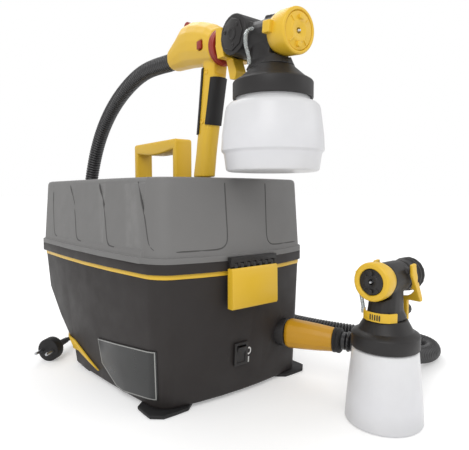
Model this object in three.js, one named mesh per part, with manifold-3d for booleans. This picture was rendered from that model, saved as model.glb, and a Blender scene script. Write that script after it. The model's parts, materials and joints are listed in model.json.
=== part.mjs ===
// Turbine paint sprayer: a toolbox-shaped blower unit, a hose, a spray gun parked on the lid
// and a second spray head standing on the floor in front of it.
// Millimetres, +Z up. The latch side of the base faces -Y. The floor is z = 0.
import * as THREE from 'three';
import { mergeVertices } from 'three/addons/utils/BufferGeometryUtils.js';
import Module from 'manifold-3d';

const wasm = await Module();
wasm.setup();

// ---------------------------------------------------------------- driving dimensions
const GAP = 0.3;              // clearance between pieces that touch

// base box
const BASE_WIDTH = 313;       // widest, at the seam
const BASE_LENGTH = 400;      // latch side to hinge side, at the seam
const FOOT_HEIGHT = 5.5;
const SEAM_HEIGHT = 191;      // lower edge of the lid
const LID_HEIGHT = 107;       // lid alone
const SHELL_WALL = 3;
const SIDE_DRAFT = 7;         // how far each side leans in from ledge to floor
const FRONT_DRAFT = 13;
const FRONT_CORNER = 26;      // plan radius of the two latch-side corners
const REAR_CORNER = 16;
const WIDEST_AT = 130;        // the sides curve in from here towards the latch side
const SIDE_CURVE = 2.4e-4;    // mm of inward curve per mm squared
const FRONT_CURVE = 1.45e-3;  // the latch side bulges by this much per mm squared
const LEDGE = 4.5;            // how far the rim band stands proud of the tub
const BAND_HEIGHT = 13;     // dark rim band under the seam
const STRIPE_HEIGHT = 6.6;
const STRIPE_DEPTH = 1.4;     // depth of the groove that the stripe sits in
const HEEL_LENGTH = 77;       // floor-level reach of the tub behind its middle
const KNEE_HEIGHT = 32;       // where the upright heel turns into the undercut
const KNEE_LENGTH = 83;
const HIP = [72, 141];        // height and reach halfway up the undercut
const SHOULDER_HEIGHT = 114;  // where the undercut ends
const SHOULDER_LENGTH = 187;
const LID_DRAFT = 7.5;
const LIP_HEIGHT = 8;         // proud lip along the lower edge of the lid
const LIP_PROUD = 2.5;
const LID_EDGE = 5;           // rounding of the lid's top edge
const PANEL_STEP = 1.8;       // height of the louvre-like steps in the lid's sides
const STEP_PLACES = [147, 48, -51, -147];   // along the side, hinge side first
const LIP_TO_PANEL = 14;      // from the seam to the lower end of the steps

// hinge, latch, handle, dock
const HINGE_PIN_RADIUS = 2.5;
const HINGE_PIN_LENGTH = 170;
const KNUCKLE_RADIUS = 5.5;
const KNUCKLE_WIDTH = 20;
const LATCH_WIDTH = 78;
const LATCH_HEIGHT = 53;
const LATCH_WALL = 3;
const LATCH_TEETH = 7;
const LATCH_PIN_RADIUS = 1.6;
const HANDLE_LENGTH = 144;
const HANDLE_PLACE = 36;      // its middle, towards the hinge side
const HANDLE_WIDTH = 31;
const HANDLE_HEIGHT = 66;
const HANDLE_LEG = 11;
const HANDLE_BAR = 16;        // bar thickness at its ends
const HANDLE_BELLY = 6;       // extra thickness in the middle of the bar
const DOCK_HEIGHT = 7;
const DOCK_WALL = 4;

// label, switch, outlet, filter cover
const LABEL_THICKNESS = 1.5;
const SWITCH_HEIGHT = 32;
const SWITCH_WIDTH = 23;
const SWITCH_LEVEL = 60;
const SWITCH_SHIFT = -7;      // left of the middle, the marks take the rest
const SWITCH_BODY_DEPTH = 22;
const BEZEL_EDGE = 2;
const BEZEL_THICKNESS = 2.4;
const ROCKER_TILT = THREE.MathUtils.degToRad(8);
const OUTLET_LEVEL = 72;
const OUTLET_ANGLE = THREE.MathUtils.degToRad(23.5);   // turned from -Y towards +X
const OUTLET_PLACE = 79;      // right of the middle
const COLLAR_RADIUS = 20;
const COLLAR_BORE = 15;
const COLLAR_LENGTH = 24;
const COLLAR_PROUD = 8;
const COUPLING_LENGTH = 70;
const COUPLING_TALL = 21;     // half height where it meets the collar
const COUPLING_WIDE = 18;
const COUPLING_END = 16.6;
const COUPLING_BORE = 11;
const CUFF_LENGTH = 11;
const CUFF_RADIUS = 17.4;
const COVER_THICKNESS = 3;

// blower
const DECK_LEVEL = 118;
const DECK_THICKNESS = 3;
const FAN_PLACE = [18, -50];
const FAN_HOUSING_RADIUS = 62;
const FAN_HOUSING_HEIGHT = 38;
const FAN_WALL = 3;
const IMPELLER_RADIUS = 54;
const IMPELLER_HEIGHT = 18;
const IMPELLER_BLADES = 8;
const SHAFT_RADIUS = 4;
const MOTOR_RADIUS = 39;
const MOTOR_HEIGHT = 62;
const FILTER_THICKNESS = 12;

// hose and mains lead
const HOSE_RADIUS = 14;
const HOSE_VALLEY = 12.2;
const HOSE_BORE = 10.2;
const HOSE_RIBS = 110;
const LEAD_RADIUS = 3.5;
const COIL_MEAN_RADIUS = 37.5;
const COIL_START = THREE.MathUtils.degToRad(190);   // where the lead comes in, turning clockwise
const COIL_PITCH = 7.7;
const COIL_TURNS = 2.5;       // turns in each of the two layers, with one more between them
const COIL_CENTRE = [24, 146];
const PLUG_RADIUS = 18.5;
const PLUG_LENGTH = 22;
const PIN_RADIUS = 2.4;
const PIN_LENGTH = 19;
const PIN_SPACING = 19;

// ---------------------------------------------------------------- materials
const finish = (color, roughness, metalness = 0) =>
  new THREE.MeshStandardMaterial({ color, roughness, metalness });
const YELLOW = finish(0xe3b53a, 0.42);
const LID_GREY = finish(0x7d7d7f, 0.55);
const TUB_BLACK = finish(0x403c3b, 0.55);
const TRIM_BLACK = finish(0x262424, 0.5);
const RUBBER = finish(0x1c1b1b, 0.85);
const RED = finish(0xa32a1e, 0.4);
const CUP_WHITE = finish(0xe6e6e8, 0.35);
const CLEAR = finish(0xcfd3d3, 0.15);
const STEEL = finish(0xb9bcc0, 0.3, 1);
const LABEL = finish(0x262a2a, 0.35);
const FOAM = finish(0x3b3f45, 0.95);
const MOTOR = finish(0x8d9093, 0.45, 0.8);

// ---------------------------------------------------------------- shape helpers
function ringPoints(count, point) {
  return Array.from({ length: count }, (_, i) => point((i / count) * Math.PI * 2));
}

// A skin over rings of equal length. Closed runs back to the first ring, otherwise both ends are capped.
function loft(rings, closed = false) {
  const size = rings[0].length;
  const positions = rings.flat().flatMap((p) => [p.x, p.y, p.z]);
  const faces = [];
  const spans = closed ? rings.length : rings.length - 1;
  for (let r = 0; r < spans; r += 1) {
    const a = r * size;
    const b = ((r + 1) % rings.length) * size;
    for (let i = 0; i < size; i += 1) {
      const j = (i + 1) % size;
      faces.push(a + i, a + j, b + j, a + i, b + j, b + i);
    }
  }
  if (!closed) {
    for (const [ring, flip] of [[0, true], [rings.length - 1, false]]) {
      const centre = positions.length / 3;
      const middle = rings[ring].reduce((s, p) => s.add(p), new THREE.Vector3()).divideScalar(size);
      positions.push(middle.x, middle.y, middle.z);
      for (let i = 0; i < size; i += 1) {
        const a = ring * size + i;
        const b = ring * size + ((i + 1) % size);
        faces.push(centre, flip ? b : a, flip ? a : b);
      }
    }
  }
  const geometry = new THREE.BufferGeometry();
  geometry.setAttribute('position', new THREE.Float32BufferAttribute(positions, 3));
  geometry.setIndex(faces);
  return geometry;
}

function plain(geometry) {
  const copy = geometry.index ? geometry.clone() : mergeVertices(geometry);
  copy.deleteAttribute('normal');
  copy.deleteAttribute('uv');
  return mergeVertices(copy, 1e-4);
}

function signedVolume(geometry) {
  const p = geometry.attributes.position;
  const index = geometry.index;
  const [a, b, c] = [new THREE.Vector3(), new THREE.Vector3(), new THREE.Vector3()];
  let volume = 0;
  for (let i = 0; i < index.count; i += 3) {
    a.fromBufferAttribute(p, index.getX(i));
    b.fromBufferAttribute(p, index.getX(i + 1));
    c.fromBufferAttribute(p, index.getX(i + 2));
    volume += a.dot(b.cross(c)) / 6;
  }
  return volume;
}

function outward(geometry) {
  const g = plain(geometry);
  if (signedVolume(g) < 0) {
    const index = g.index;
    for (let i = 0; i < index.count; i += 3) {
      const b = index.getX(i + 1);
      index.setX(i + 1, index.getX(i + 2));
      index.setX(i + 2, b);
    }
  }
  return g;
}

function toSolid(geometry) {
  const g = outward(geometry);
  return new wasm.Manifold(new wasm.Mesh({
    numProp: 3,
    vertProperties: Float32Array.from(g.attributes.position.array),
    triVerts: Uint32Array.from(g.index.array),
  }));
}

function toGeometry(solid) {
  const mesh = solid.getMesh();
  const g = new THREE.BufferGeometry();
  g.setAttribute('position', new THREE.Float32BufferAttribute(mesh.vertProperties, 3));
  g.setIndex(Array.from(mesh.triVerts));
  return g;
}

const cut = (body, ...tools) =>
  toGeometry(tools.reduce((s, t) => s.subtract(toSolid(t)), toSolid(body)));
const join = (...bodies) =>
  toGeometry(bodies.slice(1).reduce((s, t) => s.add(toSolid(t)), toSolid(bodies[0])));
const keep = (body, region) => toGeometry(toSolid(body).intersect(toSolid(region)));

// a box from one corner to the other
function block(x0, x1, y0, y1, z0, z1) {
  const g = new THREE.BoxGeometry(x1 - x0, y1 - y0, z1 - z0);
  return g.translate((x0 + x1) / 2, (y0 + y1) / 2, (z0 + z1) / 2);
}

// a solid of revolution about Z from [radius, height] pairs
function turned(profile, sides = 20) {
  const points = profile.map(([r, h]) => new THREE.Vector2(r, h));
  return new THREE.LatheGeometry(points, sides).rotateX(Math.PI / 2);
}

// the same about the gun axis: heights run towards +Y
const turnedAlongY = (profile, sides = 20) => turned(profile, sides).rotateX(-Math.PI / 2);
const closedLoop = (points) => [...points, points[0]];
const rod = (radius, from, to, sides = 12) =>
  turned([[0, from], [radius, from], [radius, to], [0, to]], sides);
const rodAlongX = (radius, from, to, sides = 12) => rod(radius, from, to, sides).rotateY(Math.PI / 2);
const rodAlongY = (radius, from, to, sides = 12) => rod(radius, from, to, sides).rotateX(-Math.PI / 2);
const tubeProfile = (inner, outer, from, to) =>
  closedLoop([[inner, from], [outer, from], [outer, to], [inner, to]]);

// a flat outline, given as [a, b] pairs, pushed along X
function plateAlongX(outline, x0, x1) {
  const shape = new THREE.Shape(outline.map(([y, z]) => new THREE.Vector2(y, z)));
  const g = new THREE.ExtrudeGeometry(shape, { depth: x1 - x0, bevelEnabled: false, curveSegments: 8 });
  return g.rotateY(Math.PI / 2).rotateX(Math.PI / 2).translate(x0, 0, 0);
}

// frames along a smooth curve through points, evenly spaced by length
function framesAlong(points, steps) {
  const curve = new THREE.CatmullRomCurve3(points.map((p) => new THREE.Vector3(...p)), false, 'centripetal');
  curve.arcLengthDivisions = 1600;
  const { normals, binormals } = curve.computeFrenetFrames(steps, false);
  return Array.from({ length: steps + 1 }, (_, i) =>
    ({ at: curve.getPointAt(i / steps), n: normals[i], b: binormals[i] }));
}

const ringOn = (frame, radius, sides) => ringPoints(sides, (t) => frame.at.clone()
  .addScaledVector(frame.n, radius * Math.cos(t))
  .addScaledVector(frame.b, radius * Math.sin(t)));

// a round tube with a bore, or solid where the bore is 0
function tubeThrough(points, radius, bore, steps, sides) {
  const frames = framesAlong(points, steps);
  const outer = frames.map((f) => ringOn(f, radius, sides));
  if (bore === 0) return loft(outer);
  return loft([...outer, ...frames.map((f) => ringOn(f, bore, sides)).reverse()], true);
}

const whole = new THREE.Group();
const cordPieces = [];

function piece(name, geometry, material, parent = whole) {
  const mesh = new THREE.Mesh(outward(geometry), material);
  mesh.name = name;
  parent.add(mesh);
  return mesh;
}

function groupAt(x, y, z, parent = whole) {
  const g = new THREE.Group();
  g.position.set(x, y, z);
  parent.add(g);
  return g;
}

// ---------------------------------------------------------------- the base box
const HALF_WIDTH = BASE_WIDTH / 2;
const HALF_LENGTH = BASE_LENGTH / 2;
const BAND_BOTTOM = SEAM_HEIGHT - BAND_HEIGHT;
const STRIPE_BOTTOM = BAND_BOTTOM - STRIPE_HEIGHT;
const LID_TOP = SEAM_HEIGHT + LID_HEIGHT;

const CORNER_STEPS = 4;
const FRONT_SPLITS = 5;       // extra points along the latch side and along each side
const SIDE_SPLITS = 3;

const narrowing = (y) => SIDE_CURVE * Math.min(y - WIDEST_AT, 0) ** 2;

// plan outline, counter-clockwise from the latch side's left corner. Straight lines are split so that
// they can curve: the sides narrow towards the latch side, and the latch side bulges.
function planRing(z, halfWidth, front, rear, frontRadius, rearRadius, curve = 1) {
  const corner = (x, y, r, start, steps) => Array.from({ length: steps + 1 }, (_, i) => {
    const t = start + (i / steps) * Math.PI / 2;
    return [x + r * Math.cos(t), y + r * Math.sin(t)];
  });
  const between = (a, b, count) => Array.from({ length: count }, (_, i) => {
    const t = (i + 1) / (count + 1);
    return [THREE.MathUtils.lerp(a[0], b[0], t), THREE.MathUtils.lerp(a[1], b[1], t)];
  });
  const parts = [
    corner(-halfWidth + frontRadius, front + frontRadius, frontRadius, Math.PI, CORNER_STEPS),
    corner(halfWidth - frontRadius, front + frontRadius, frontRadius, 1.5 * Math.PI, CORNER_STEPS),
    corner(halfWidth - rearRadius, rear - rearRadius, rearRadius, 0, 2),
    corner(-halfWidth + rearRadius, rear - rearRadius, rearRadius, 0.5 * Math.PI, 2),
  ];
  const [frontLeft, frontRight, rearRight, rearLeft] = parts;
  const outline = [...frontLeft, ...between(frontLeft.at(-1), frontRight[0], FRONT_SPLITS), ...frontRight,
    ...between(frontRight.at(-1), rearRight[0], SIDE_SPLITS), ...rearRight, ...rearLeft,
    ...between(rearLeft.at(-1), frontLeft[0], SIDE_SPLITS)];
  return outline.map(([x, y]) => {
    const blend = THREE.MathUtils.clamp(y / front, 0, 1);
    const nx = x * (1 - narrowing(y) / halfWidth);
    return new THREE.Vector3(nx, y + curve * FRONT_CURVE * nx * nx * blend, z);
  });
}

const REAR_PROFILE = [
  [FOOT_HEIGHT, HEEL_LENGTH],
  [KNEE_HEIGHT, KNEE_LENGTH],
  HIP,
  [SHOULDER_HEIGHT, SHOULDER_LENGTH],
  [STRIPE_BOTTOM, HALF_LENGTH - LEDGE],
];

function rearAt(z) {
  for (let i = 1; i < REAR_PROFILE.length; i += 1) {
    const [z0, y0] = REAR_PROFILE[i - 1];
    const [z1, y1] = REAR_PROFILE[i];
    if (z <= z1) return y0 + ((y1 - y0) * (z - z0)) / (z1 - z0);
  }
  return HALF_LENGTH - LEDGE;
}

const rise = (z) => THREE.MathUtils.clamp((z - FOOT_HEIGHT) / (STRIPE_BOTTOM - FOOT_HEIGHT), 0, 1);
const halfWidthAt = (z) => HALF_WIDTH - LEDGE - SIDE_DRAFT * (1 - rise(z));
const frontAt = (z) => -(HALF_LENGTH - LEDGE - FRONT_DRAFT * (1 - rise(z)));
const FRONT_LEAN = Math.atan2(FRONT_DRAFT, STRIPE_BOTTOM - FOOT_HEIGHT);

function tubRing(z, inset) {
  return planRing(z, halfWidthAt(z) - inset, frontAt(z) + inset, rearAt(z) - inset,
    FRONT_CORNER - LEDGE - inset, Math.max(REAR_CORNER - inset, 3), 0.6 + 0.4 * rise(z));
}

const bandRing = (z, inset) => planRing(z, HALF_WIDTH - inset, -HALF_LENGTH + inset,
  HALF_LENGTH - inset, FRONT_CORNER - inset, Math.max(REAR_CORNER - inset, 3));

// a group on the leaning latch-side wall: its -Y points straight out of the wall
function onFrontWall(x, z) {
  const g = groupAt(x, frontAt(z), z);
  g.rotation.x = FRONT_LEAN;
  return g;
}

const outletCentre = () => new THREE.Vector3(OUTLET_PLACE,
  frontAt(OUTLET_LEVEL) + FRONT_CURVE * OUTLET_PLACE ** 2 * (0.6 + 0.4 * rise(OUTLET_LEVEL)), OUTLET_LEVEL);

function alongOutlet(geometry) {
  const at = outletCentre();
  return geometry.clone().rotateZ(OUTLET_ANGLE).translate(at.x, at.y, at.z);
}

// a piece whose +Y points straight out of the heel's rear wall
const onHeel = (geometry) => geometry.rotateX(-HEEL_LEAN)
  .translate(GLAND_PLACE[0], rearAt(GLAND_PLACE[1]), GLAND_PLACE[1]);

const SOCKET_WIDTH = SWITCH_WIDTH - 2 * BEZEL_EDGE;
const SOCKET_HEIGHT = SWITCH_HEIGHT - 2 * BEZEL_EDGE;
const GLAND_PLACE = [-25, 18];   // across, up
const HEEL_LEAN = Math.atan2(KNEE_LENGTH - HEEL_LENGTH, KNEE_HEIGHT - FOOT_HEIGHT);
const GLAND_RADIUS = 6;
const INTAKE_SLOTS = 5;
const TUB_FLOOR = FOOT_HEIGHT + SHELL_WALL;

function knuckle(x0, x1, reachY, reachZ) {
  const axisY = HALF_LENGTH + KNUCKLE_RADIUS + LIP_PROUD;
  const web = block(x0, x1, reachY, axisY, Math.min(SEAM_HEIGHT, reachZ), Math.max(SEAM_HEIGHT, reachZ));
  const bored = cut(join(rodAlongX(KNUCKLE_RADIUS, x0, x1, 14).translate(0, axisY, SEAM_HEIGHT), web),
    rodAlongX(HINGE_PIN_RADIUS + GAP, x0 - 1, x1 + 1, 12).translate(0, axisY, SEAM_HEIGHT));
  return bored;
}

const HINGE_Y = HALF_LENGTH + KNUCKLE_RADIUS + LIP_PROUD;
const HINGE_OUTER = HINGE_PIN_LENGTH / 2 - 4;

function makeTub() {
  const grooveInset = STRIPE_DEPTH;
  const outer = [
    tubRing(FOOT_HEIGHT, 1.5),
    tubRing(FOOT_HEIGHT + 3, 0),
    tubRing(KNEE_HEIGHT, 0),
    tubRing(HIP[0], 0),
    tubRing(SHOULDER_HEIGHT, 0),
    tubRing(STRIPE_BOTTOM, 0),
    tubRing(STRIPE_BOTTOM, grooveInset),
    tubRing(BAND_BOTTOM, grooveInset),
    bandRing(BAND_BOTTOM, 0),
    bandRing(SEAM_HEIGHT - GAP, 0),
  ];
  const inner = [
    bandRing(SEAM_HEIGHT - GAP, SHELL_WALL + LIP_PROUD),
    bandRing(BAND_BOTTOM - 1, SHELL_WALL + LIP_PROUD + STRIPE_DEPTH + 1),
    tubRing(SHOULDER_HEIGHT + 2, SHELL_WALL),
    tubRing(HIP[0] + 2, SHELL_WALL),
    tubRing(KNEE_HEIGHT + SHELL_WALL, SHELL_WALL),
    tubRing(TUB_FLOOR, SHELL_WALL + 1),
  ];
  const shell = loft([...outer, ...inner]);
  const front = frontAt(SWITCH_LEVEL);
  const across = SOCKET_WIDTH / 2 + GAP;
  const up = SOCKET_HEIGHT / 2 + GAP;
  const switchHole = block(-across, across, front - 8, front + 12, -up, up)
    .translate(SWITCH_SHIFT, 0, SWITCH_LEVEL);
  const outletHole = alongOutlet(rodAlongY(COLLAR_RADIUS + GAP, -40, 40, 24));
  const glandHole = onHeel(rodAlongY(GLAND_RADIUS - 1.5, -14, 10, 12));
  const intake = Array.from({ length: INTAKE_SLOTS }, (_, i) => {
    const x = (i - (INTAKE_SLOTS - 1) / 2) * 12 + 20;
    return block(x - 3, x + 3, KNEE_LENGTH - 20, KNEE_LENGTH + 6, 14, 28);
  });
  const hinges = [-1, 1].map((side) => {
    const outerEnd = side * HINGE_OUTER;
    const innerEnd = side * (HINGE_OUTER - KNUCKLE_WIDTH);
    return knuckle(Math.min(outerEnd, innerEnd), Math.max(outerEnd, innerEnd),
      HALF_LENGTH - 1, BAND_BOTTOM + 2);
  });
  piece('tub', join(cut(shell, switchHole, outletHole, glandHole, ...intake), ...hinges), TUB_BLACK);
}

function makeStripe() {
  const proud = 0.9;
  const ring = (z, inset) => tubRing(z, inset);
  piece('stripe', loft([
    ring(STRIPE_BOTTOM + GAP, STRIPE_DEPTH - GAP),
    ring(STRIPE_BOTTOM + GAP, -proud),
    ring(BAND_BOTTOM - GAP, -proud),
    ring(BAND_BOTTOM - GAP, STRIPE_DEPTH - GAP),
  ], true), YELLOW);
}

function makeFeet() {
  const long = 56;
  const wide = 64;
  for (const [name, x, y] of [
    ['foot_front_left', -1, 1], ['foot_front_right', 1, 1],
    ['foot_rear_left', -1, -1], ['foot_rear_right', 1, -1]]) {
    const cx = x * (halfWidthAt(FOOT_HEIGHT) - wide / 2 - (y > 0 ? 8 : 6));
    const cy = y > 0 ? frontAt(FOOT_HEIGHT) + long / 2 + 1.5 : HEEL_LENGTH - long / 2 - 6;
    const ring = (z, grow) => couplingRing(0, wide / 2 + grow, long / 2 + grow, 5, 12)
      .map((p) => new THREE.Vector3(p.x, p.z, z));
    const g = loft([ring(0, -1.5), ring(1.5, 0), ring(FOOT_HEIGHT - GAP, 0)]);
    piece(name, g.translate(cx, cy, 0), RUBBER);
  }
}

function makeLabel() {
  // five-sided plate low on the left side: a slice of a skin that follows the wall
  const skin = (out) => loft([tubRing(FOOT_HEIGHT, -out), tubRing(FOOT_HEIGHT + 95, -out)]);
  const outline = [[-163, 81], [-24, 67], [-33, 32], [-72, 9], [-90, 7], [-162, 17]];
  const region = plateAlongX(outline, -HALF_WIDTH - 10, -80);
  piece('label_plate', keep(cut(skin(GAP + LABEL_THICKNESS), skin(GAP)), region), LABEL);
}

function makeFilterCover() {
  // yellow cover round the heel: a band across the back with a tapering cheek on each side
  const skin = (out, z0, z1) => loft([tubRing(z0, -out), tubRing(KNEE_HEIGHT, -out), tubRing(z1, -out)]);
  const cheek = [[-22, 17], [46, 30], [KNEE_LENGTH + 40, 24], [KNEE_LENGTH + 40, 47], [60, 43]];
  const region = plateAlongX(cheek, -HALF_WIDTH, HALF_WIDTH);
  const shell = cut(skin(GAP + COVER_THICKNESS, 11, 52), skin(GAP, 10, 53));
  piece('filter_cover', keep(shell, region), YELLOW);
}

function makeSwitch() {
  const frame = onFrontWall(SWITCH_SHIFT, SWITCH_LEVEL);
  const edge = BEZEL_EDGE;
  const w = SWITCH_WIDTH / 2;
  const h = SWITCH_HEIGHT / 2;
  const bezel = block(-w, w, -BEZEL_THICKNESS - GAP, -GAP, -h, h);
  const box = block(-w + edge + 1, w - edge - 1, -GAP - 1, SWITCH_BODY_DEPTH, -h + edge + 1, h - edge - 1);
  const pocket = block(-w + edge + 2, w - edge - 2, -BEZEL_THICKNESS - 2, 10, -h + edge + 2, h - edge - 2);
  piece('switch_body', cut(join(bezel, box), pocket), TRIM_BLACK, frame);

  const half = h - edge - 2 - GAP - 0.5;
  const pivot = 2.5;
  const outline = [[-pivot - 3.6, -half], [-pivot - 1.6, 0], [-pivot - 3.6, half],
    [pivot, half * 0.7], [pivot + 3, 0], [pivot, -half * 0.7]];
  const rocker = plateAlongX(outline, -w + edge + 2 + GAP, w - edge - 2 - GAP);
  rocker.rotateX(ROCKER_TILT);
  piece('switch_rocker', rocker.translate(0, pivot, 0), TRIM_BLACK, frame);
}

function makeOutlet() {
  const from = -COLLAR_PROUD;
  piece('outlet_collar', alongOutlet(turnedAlongY(
    tubeProfile(COLLAR_BORE, COLLAR_RADIUS, from, from + COLLAR_LENGTH), 24)), TRIM_BLACK);
}

// round-cornered section across the coupling, at a distance along it
function couplingRing(y, wide, tall, power = 2.6, sides = 16) {
  return ringPoints(sides, (t) => {
    const c = Math.cos(t);
    const s = Math.sin(t);
    const k = (Math.abs(c) ** power + Math.abs(s) ** power) ** (-1 / power);
    return new THREE.Vector3(wide * k * c, y, tall * k * s);
  });
}

const COUPLING_START = -COLLAR_PROUD - GAP;
const COUPLING_STOP = COUPLING_START - COUPLING_LENGTH;
const CUFF_STOP = COUPLING_STOP - GAP - CUFF_LENGTH;

function makeCoupling() {
  const spigot = COLLAR_BORE - GAP;
  const a = COUPLING_START;
  const z = COUPLING_STOP;
  const bore = (y) => couplingRing(y, COUPLING_BORE, COUPLING_BORE, 2);
  const geometry = loft([
    bore(a + 14),
    couplingRing(a + 14, spigot, spigot, 2),
    couplingRing(a, spigot, spigot, 2),
    couplingRing(a, COUPLING_WIDE - 2, COUPLING_TALL - 2),
    couplingRing(a - 4, COUPLING_WIDE, COUPLING_TALL),
    couplingRing(a - 24, COUPLING_WIDE, COUPLING_TALL - 1),
    couplingRing(a - 44, COUPLING_END + 1, COUPLING_END + 2),
    couplingRing(z, COUPLING_END, COUPLING_END, 2),
    bore(z),
  ], true);
  piece('hose_coupling', alongOutlet(geometry), YELLOW);
  const lip = 2;
  const from = CUFF_STOP;
  const to = COUPLING_STOP - GAP;
  const cuff = turnedAlongY(closedLoop([[COUPLING_BORE, from], [HOSE_RADIUS, from],
    [CUFF_RADIUS, from + lip], [CUFF_RADIUS, to], [COUPLING_BORE, to]]), 20);
  piece('hose_cuff', alongOutlet(cuff), RUBBER);
  cordPieces.push('hose_coupling', 'hose_cuff');
}

// ---------------------------------------------------------------- blower inside the base
const FAN_TOP = TUB_FLOOR + GAP + FAN_HOUSING_HEIGHT;

function makeBlower() {
  const [x, y] = FAN_PLACE;
  const base = TUB_FLOOR + GAP;
  const inlet = 22;
  const housing = turned(closedLoop([
    [inlet, base + 4], [FAN_HOUSING_RADIUS - 4, base], [FAN_HOUSING_RADIUS, base + 4],
    [FAN_HOUSING_RADIUS, FAN_TOP], [SHAFT_RADIUS + 4, FAN_TOP],
    [SHAFT_RADIUS + 4, FAN_TOP - FAN_WALL], [FAN_HOUSING_RADIUS - FAN_WALL, FAN_TOP - FAN_WALL],
    [FAN_HOUSING_RADIUS - FAN_WALL, base + 4 + FAN_WALL], [inlet, base + 4 + FAN_WALL],
  ]), 24);
  const port = rod(COUPLING_BORE + 2, 0, FAN_HOUSING_RADIUS + 20, 16).rotateX(Math.PI / 2)
    .rotateZ(Math.PI + ductHeading()).translate(0, 0, (base + FAN_TOP) / 2);
  piece('fan_housing', cut(housing, port).translate(x, y, 0), TRIM_BLACK);

  const mid = (base + FAN_TOP) / 2;
  const low = mid - IMPELLER_HEIGHT / 2;
  const plate = turned([[0, low], [IMPELLER_RADIUS, low], [IMPELLER_RADIUS, low + 2], [12, low + 2],
    [12, low + IMPELLER_HEIGHT], [0, low + IMPELLER_HEIGHT]], 20);
  const blades = Array.from({ length: IMPELLER_BLADES }, (_, i) =>
    block(8, IMPELLER_RADIUS - 2, -1, 1, low + 1, low + IMPELLER_HEIGHT - 2)
      .rotateZ((i / IMPELLER_BLADES) * Math.PI * 2));
  const bore = rod(SHAFT_RADIUS + GAP, low - 1, low + IMPELLER_HEIGHT + 1, 14);
  piece('impeller', cut(join(plate, ...blades), bore).translate(x, y, 0), MOTOR);
  piece('motor_shaft', rod(SHAFT_RADIUS, low - 2, FAN_TOP + 14, 14).translate(x, y, 0), STEEL);

  const motorBase = FAN_TOP + GAP;
  const motor = turned(closedLoop([
    [SHAFT_RADIUS + 0.5, motorBase], [MOTOR_RADIUS, motorBase], [MOTOR_RADIUS, motorBase + 8],
    [MOTOR_RADIUS - 5, motorBase + 12], [MOTOR_RADIUS - 5, motorBase + MOTOR_HEIGHT - 6],
    [16, motorBase + MOTOR_HEIGHT], [SHAFT_RADIUS + 0.5, motorBase + MOTOR_HEIGHT],
  ]), 20);
  piece('motor', motor.translate(x, y, 0), MOTOR);
}

function ductHeading() {
  const target = outletCentre();
  return Math.atan2(target.x - FAN_PLACE[0], -(target.y - FAN_PLACE[1]));
}

function makeDuct() {
  const [x, y] = FAN_PLACE;
  const mid = (TUB_FLOOR + GAP + FAN_TOP) / 2;
  const end = outletCentre();
  const axis = new THREE.Vector3(Math.sin(OUTLET_ANGLE), -Math.cos(OUTLET_ANGLE), 0);
  const stop = end.clone().addScaledVector(axis, COLLAR_PROUD - COLLAR_LENGTH - GAP);
  const heading = ductHeading();
  const out = new THREE.Vector3(Math.sin(heading), -Math.cos(heading), 0);
  const start = new THREE.Vector3(x, y, mid).addScaledVector(out, FAN_HOUSING_RADIUS - 6);
  const path = [start, start.clone().addScaledVector(out, 12),
    stop.clone().addScaledVector(axis, -16), stop.clone().addScaledVector(axis, -6), stop];
  const tube = tubeThrough(path.map((p) => p.toArray()), COUPLING_BORE + 2, COUPLING_BORE, 6, 10);
  const clear = rod(FAN_HOUSING_RADIUS + GAP, 0, DECK_LEVEL, 24).translate(x, y, 0);
  piece('air_duct', cut(tube, clear), TRIM_BLACK);
}

function makeDeck() {
  const ring = (z, inset) => tubRing(z, SHELL_WALL + GAP + inset);
  const plate = loft([ring(DECK_LEVEL, 1), ring(DECK_LEVEL + DECK_THICKNESS, 0.4)]);
  const well = block(-30, 30, 60, 130, DECK_LEVEL - 1, DECK_LEVEL + DECK_THICKNESS + 1);
  piece('deck', cut(plate, well), TRIM_BLACK);
}

function makeFilter() {
  const back = HEEL_LENGTH - SHELL_WALL - 1 - GAP;
  piece('intake_filter', block(-14, 56, back - FILTER_THICKNESS, back, TUB_FLOOR + GAP, 34), FOAM);
}

// ---------------------------------------------------------------- lid and what is fixed to it
// plan outline of the lid: the sides step out like louvres where k is 1
function lidRing(z, inset, stepOut, k) {
  const ring = planRing(z, HALF_WIDTH - inset, -HALF_LENGTH + inset, HALF_LENGTH - inset,
    FRONT_CORNER - inset * 0.5, Math.max(REAR_CORNER - inset * 0.5, 3));
  const frontCount = 2 * (CORNER_STEPS + 1) + FRONT_SPLITS;
  const front = ring.slice(0, frontCount);
  const rear = ring.slice(frontCount + SIDE_SPLITS, -SIDE_SPLITS);
  const sideX = (y) => HALF_WIDTH - inset - narrowing(y);
  const sharp = 0.8;
  const right = [];
  for (const [i, place] of [...STEP_PLACES].reverse().entries()) {
    const level = (STEP_PLACES.length - 1 - i) * stepOut * k * 0.4;
    right.push(new THREE.Vector3(sideX(place) - level, place - sharp, z));
    right.push(new THREE.Vector3(sideX(place) - level - stepOut * k, place + sharp, z));
  }
  const left = right.map((p) => new THREE.Vector3(-p.x, p.y, z)).reverse();
  return [...front, ...right, ...rear, ...left];
}

const lidInset = (z) => LIP_PROUD + LID_DRAFT * ((z - SEAM_HEIGHT) / LID_HEIGHT);

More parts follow.
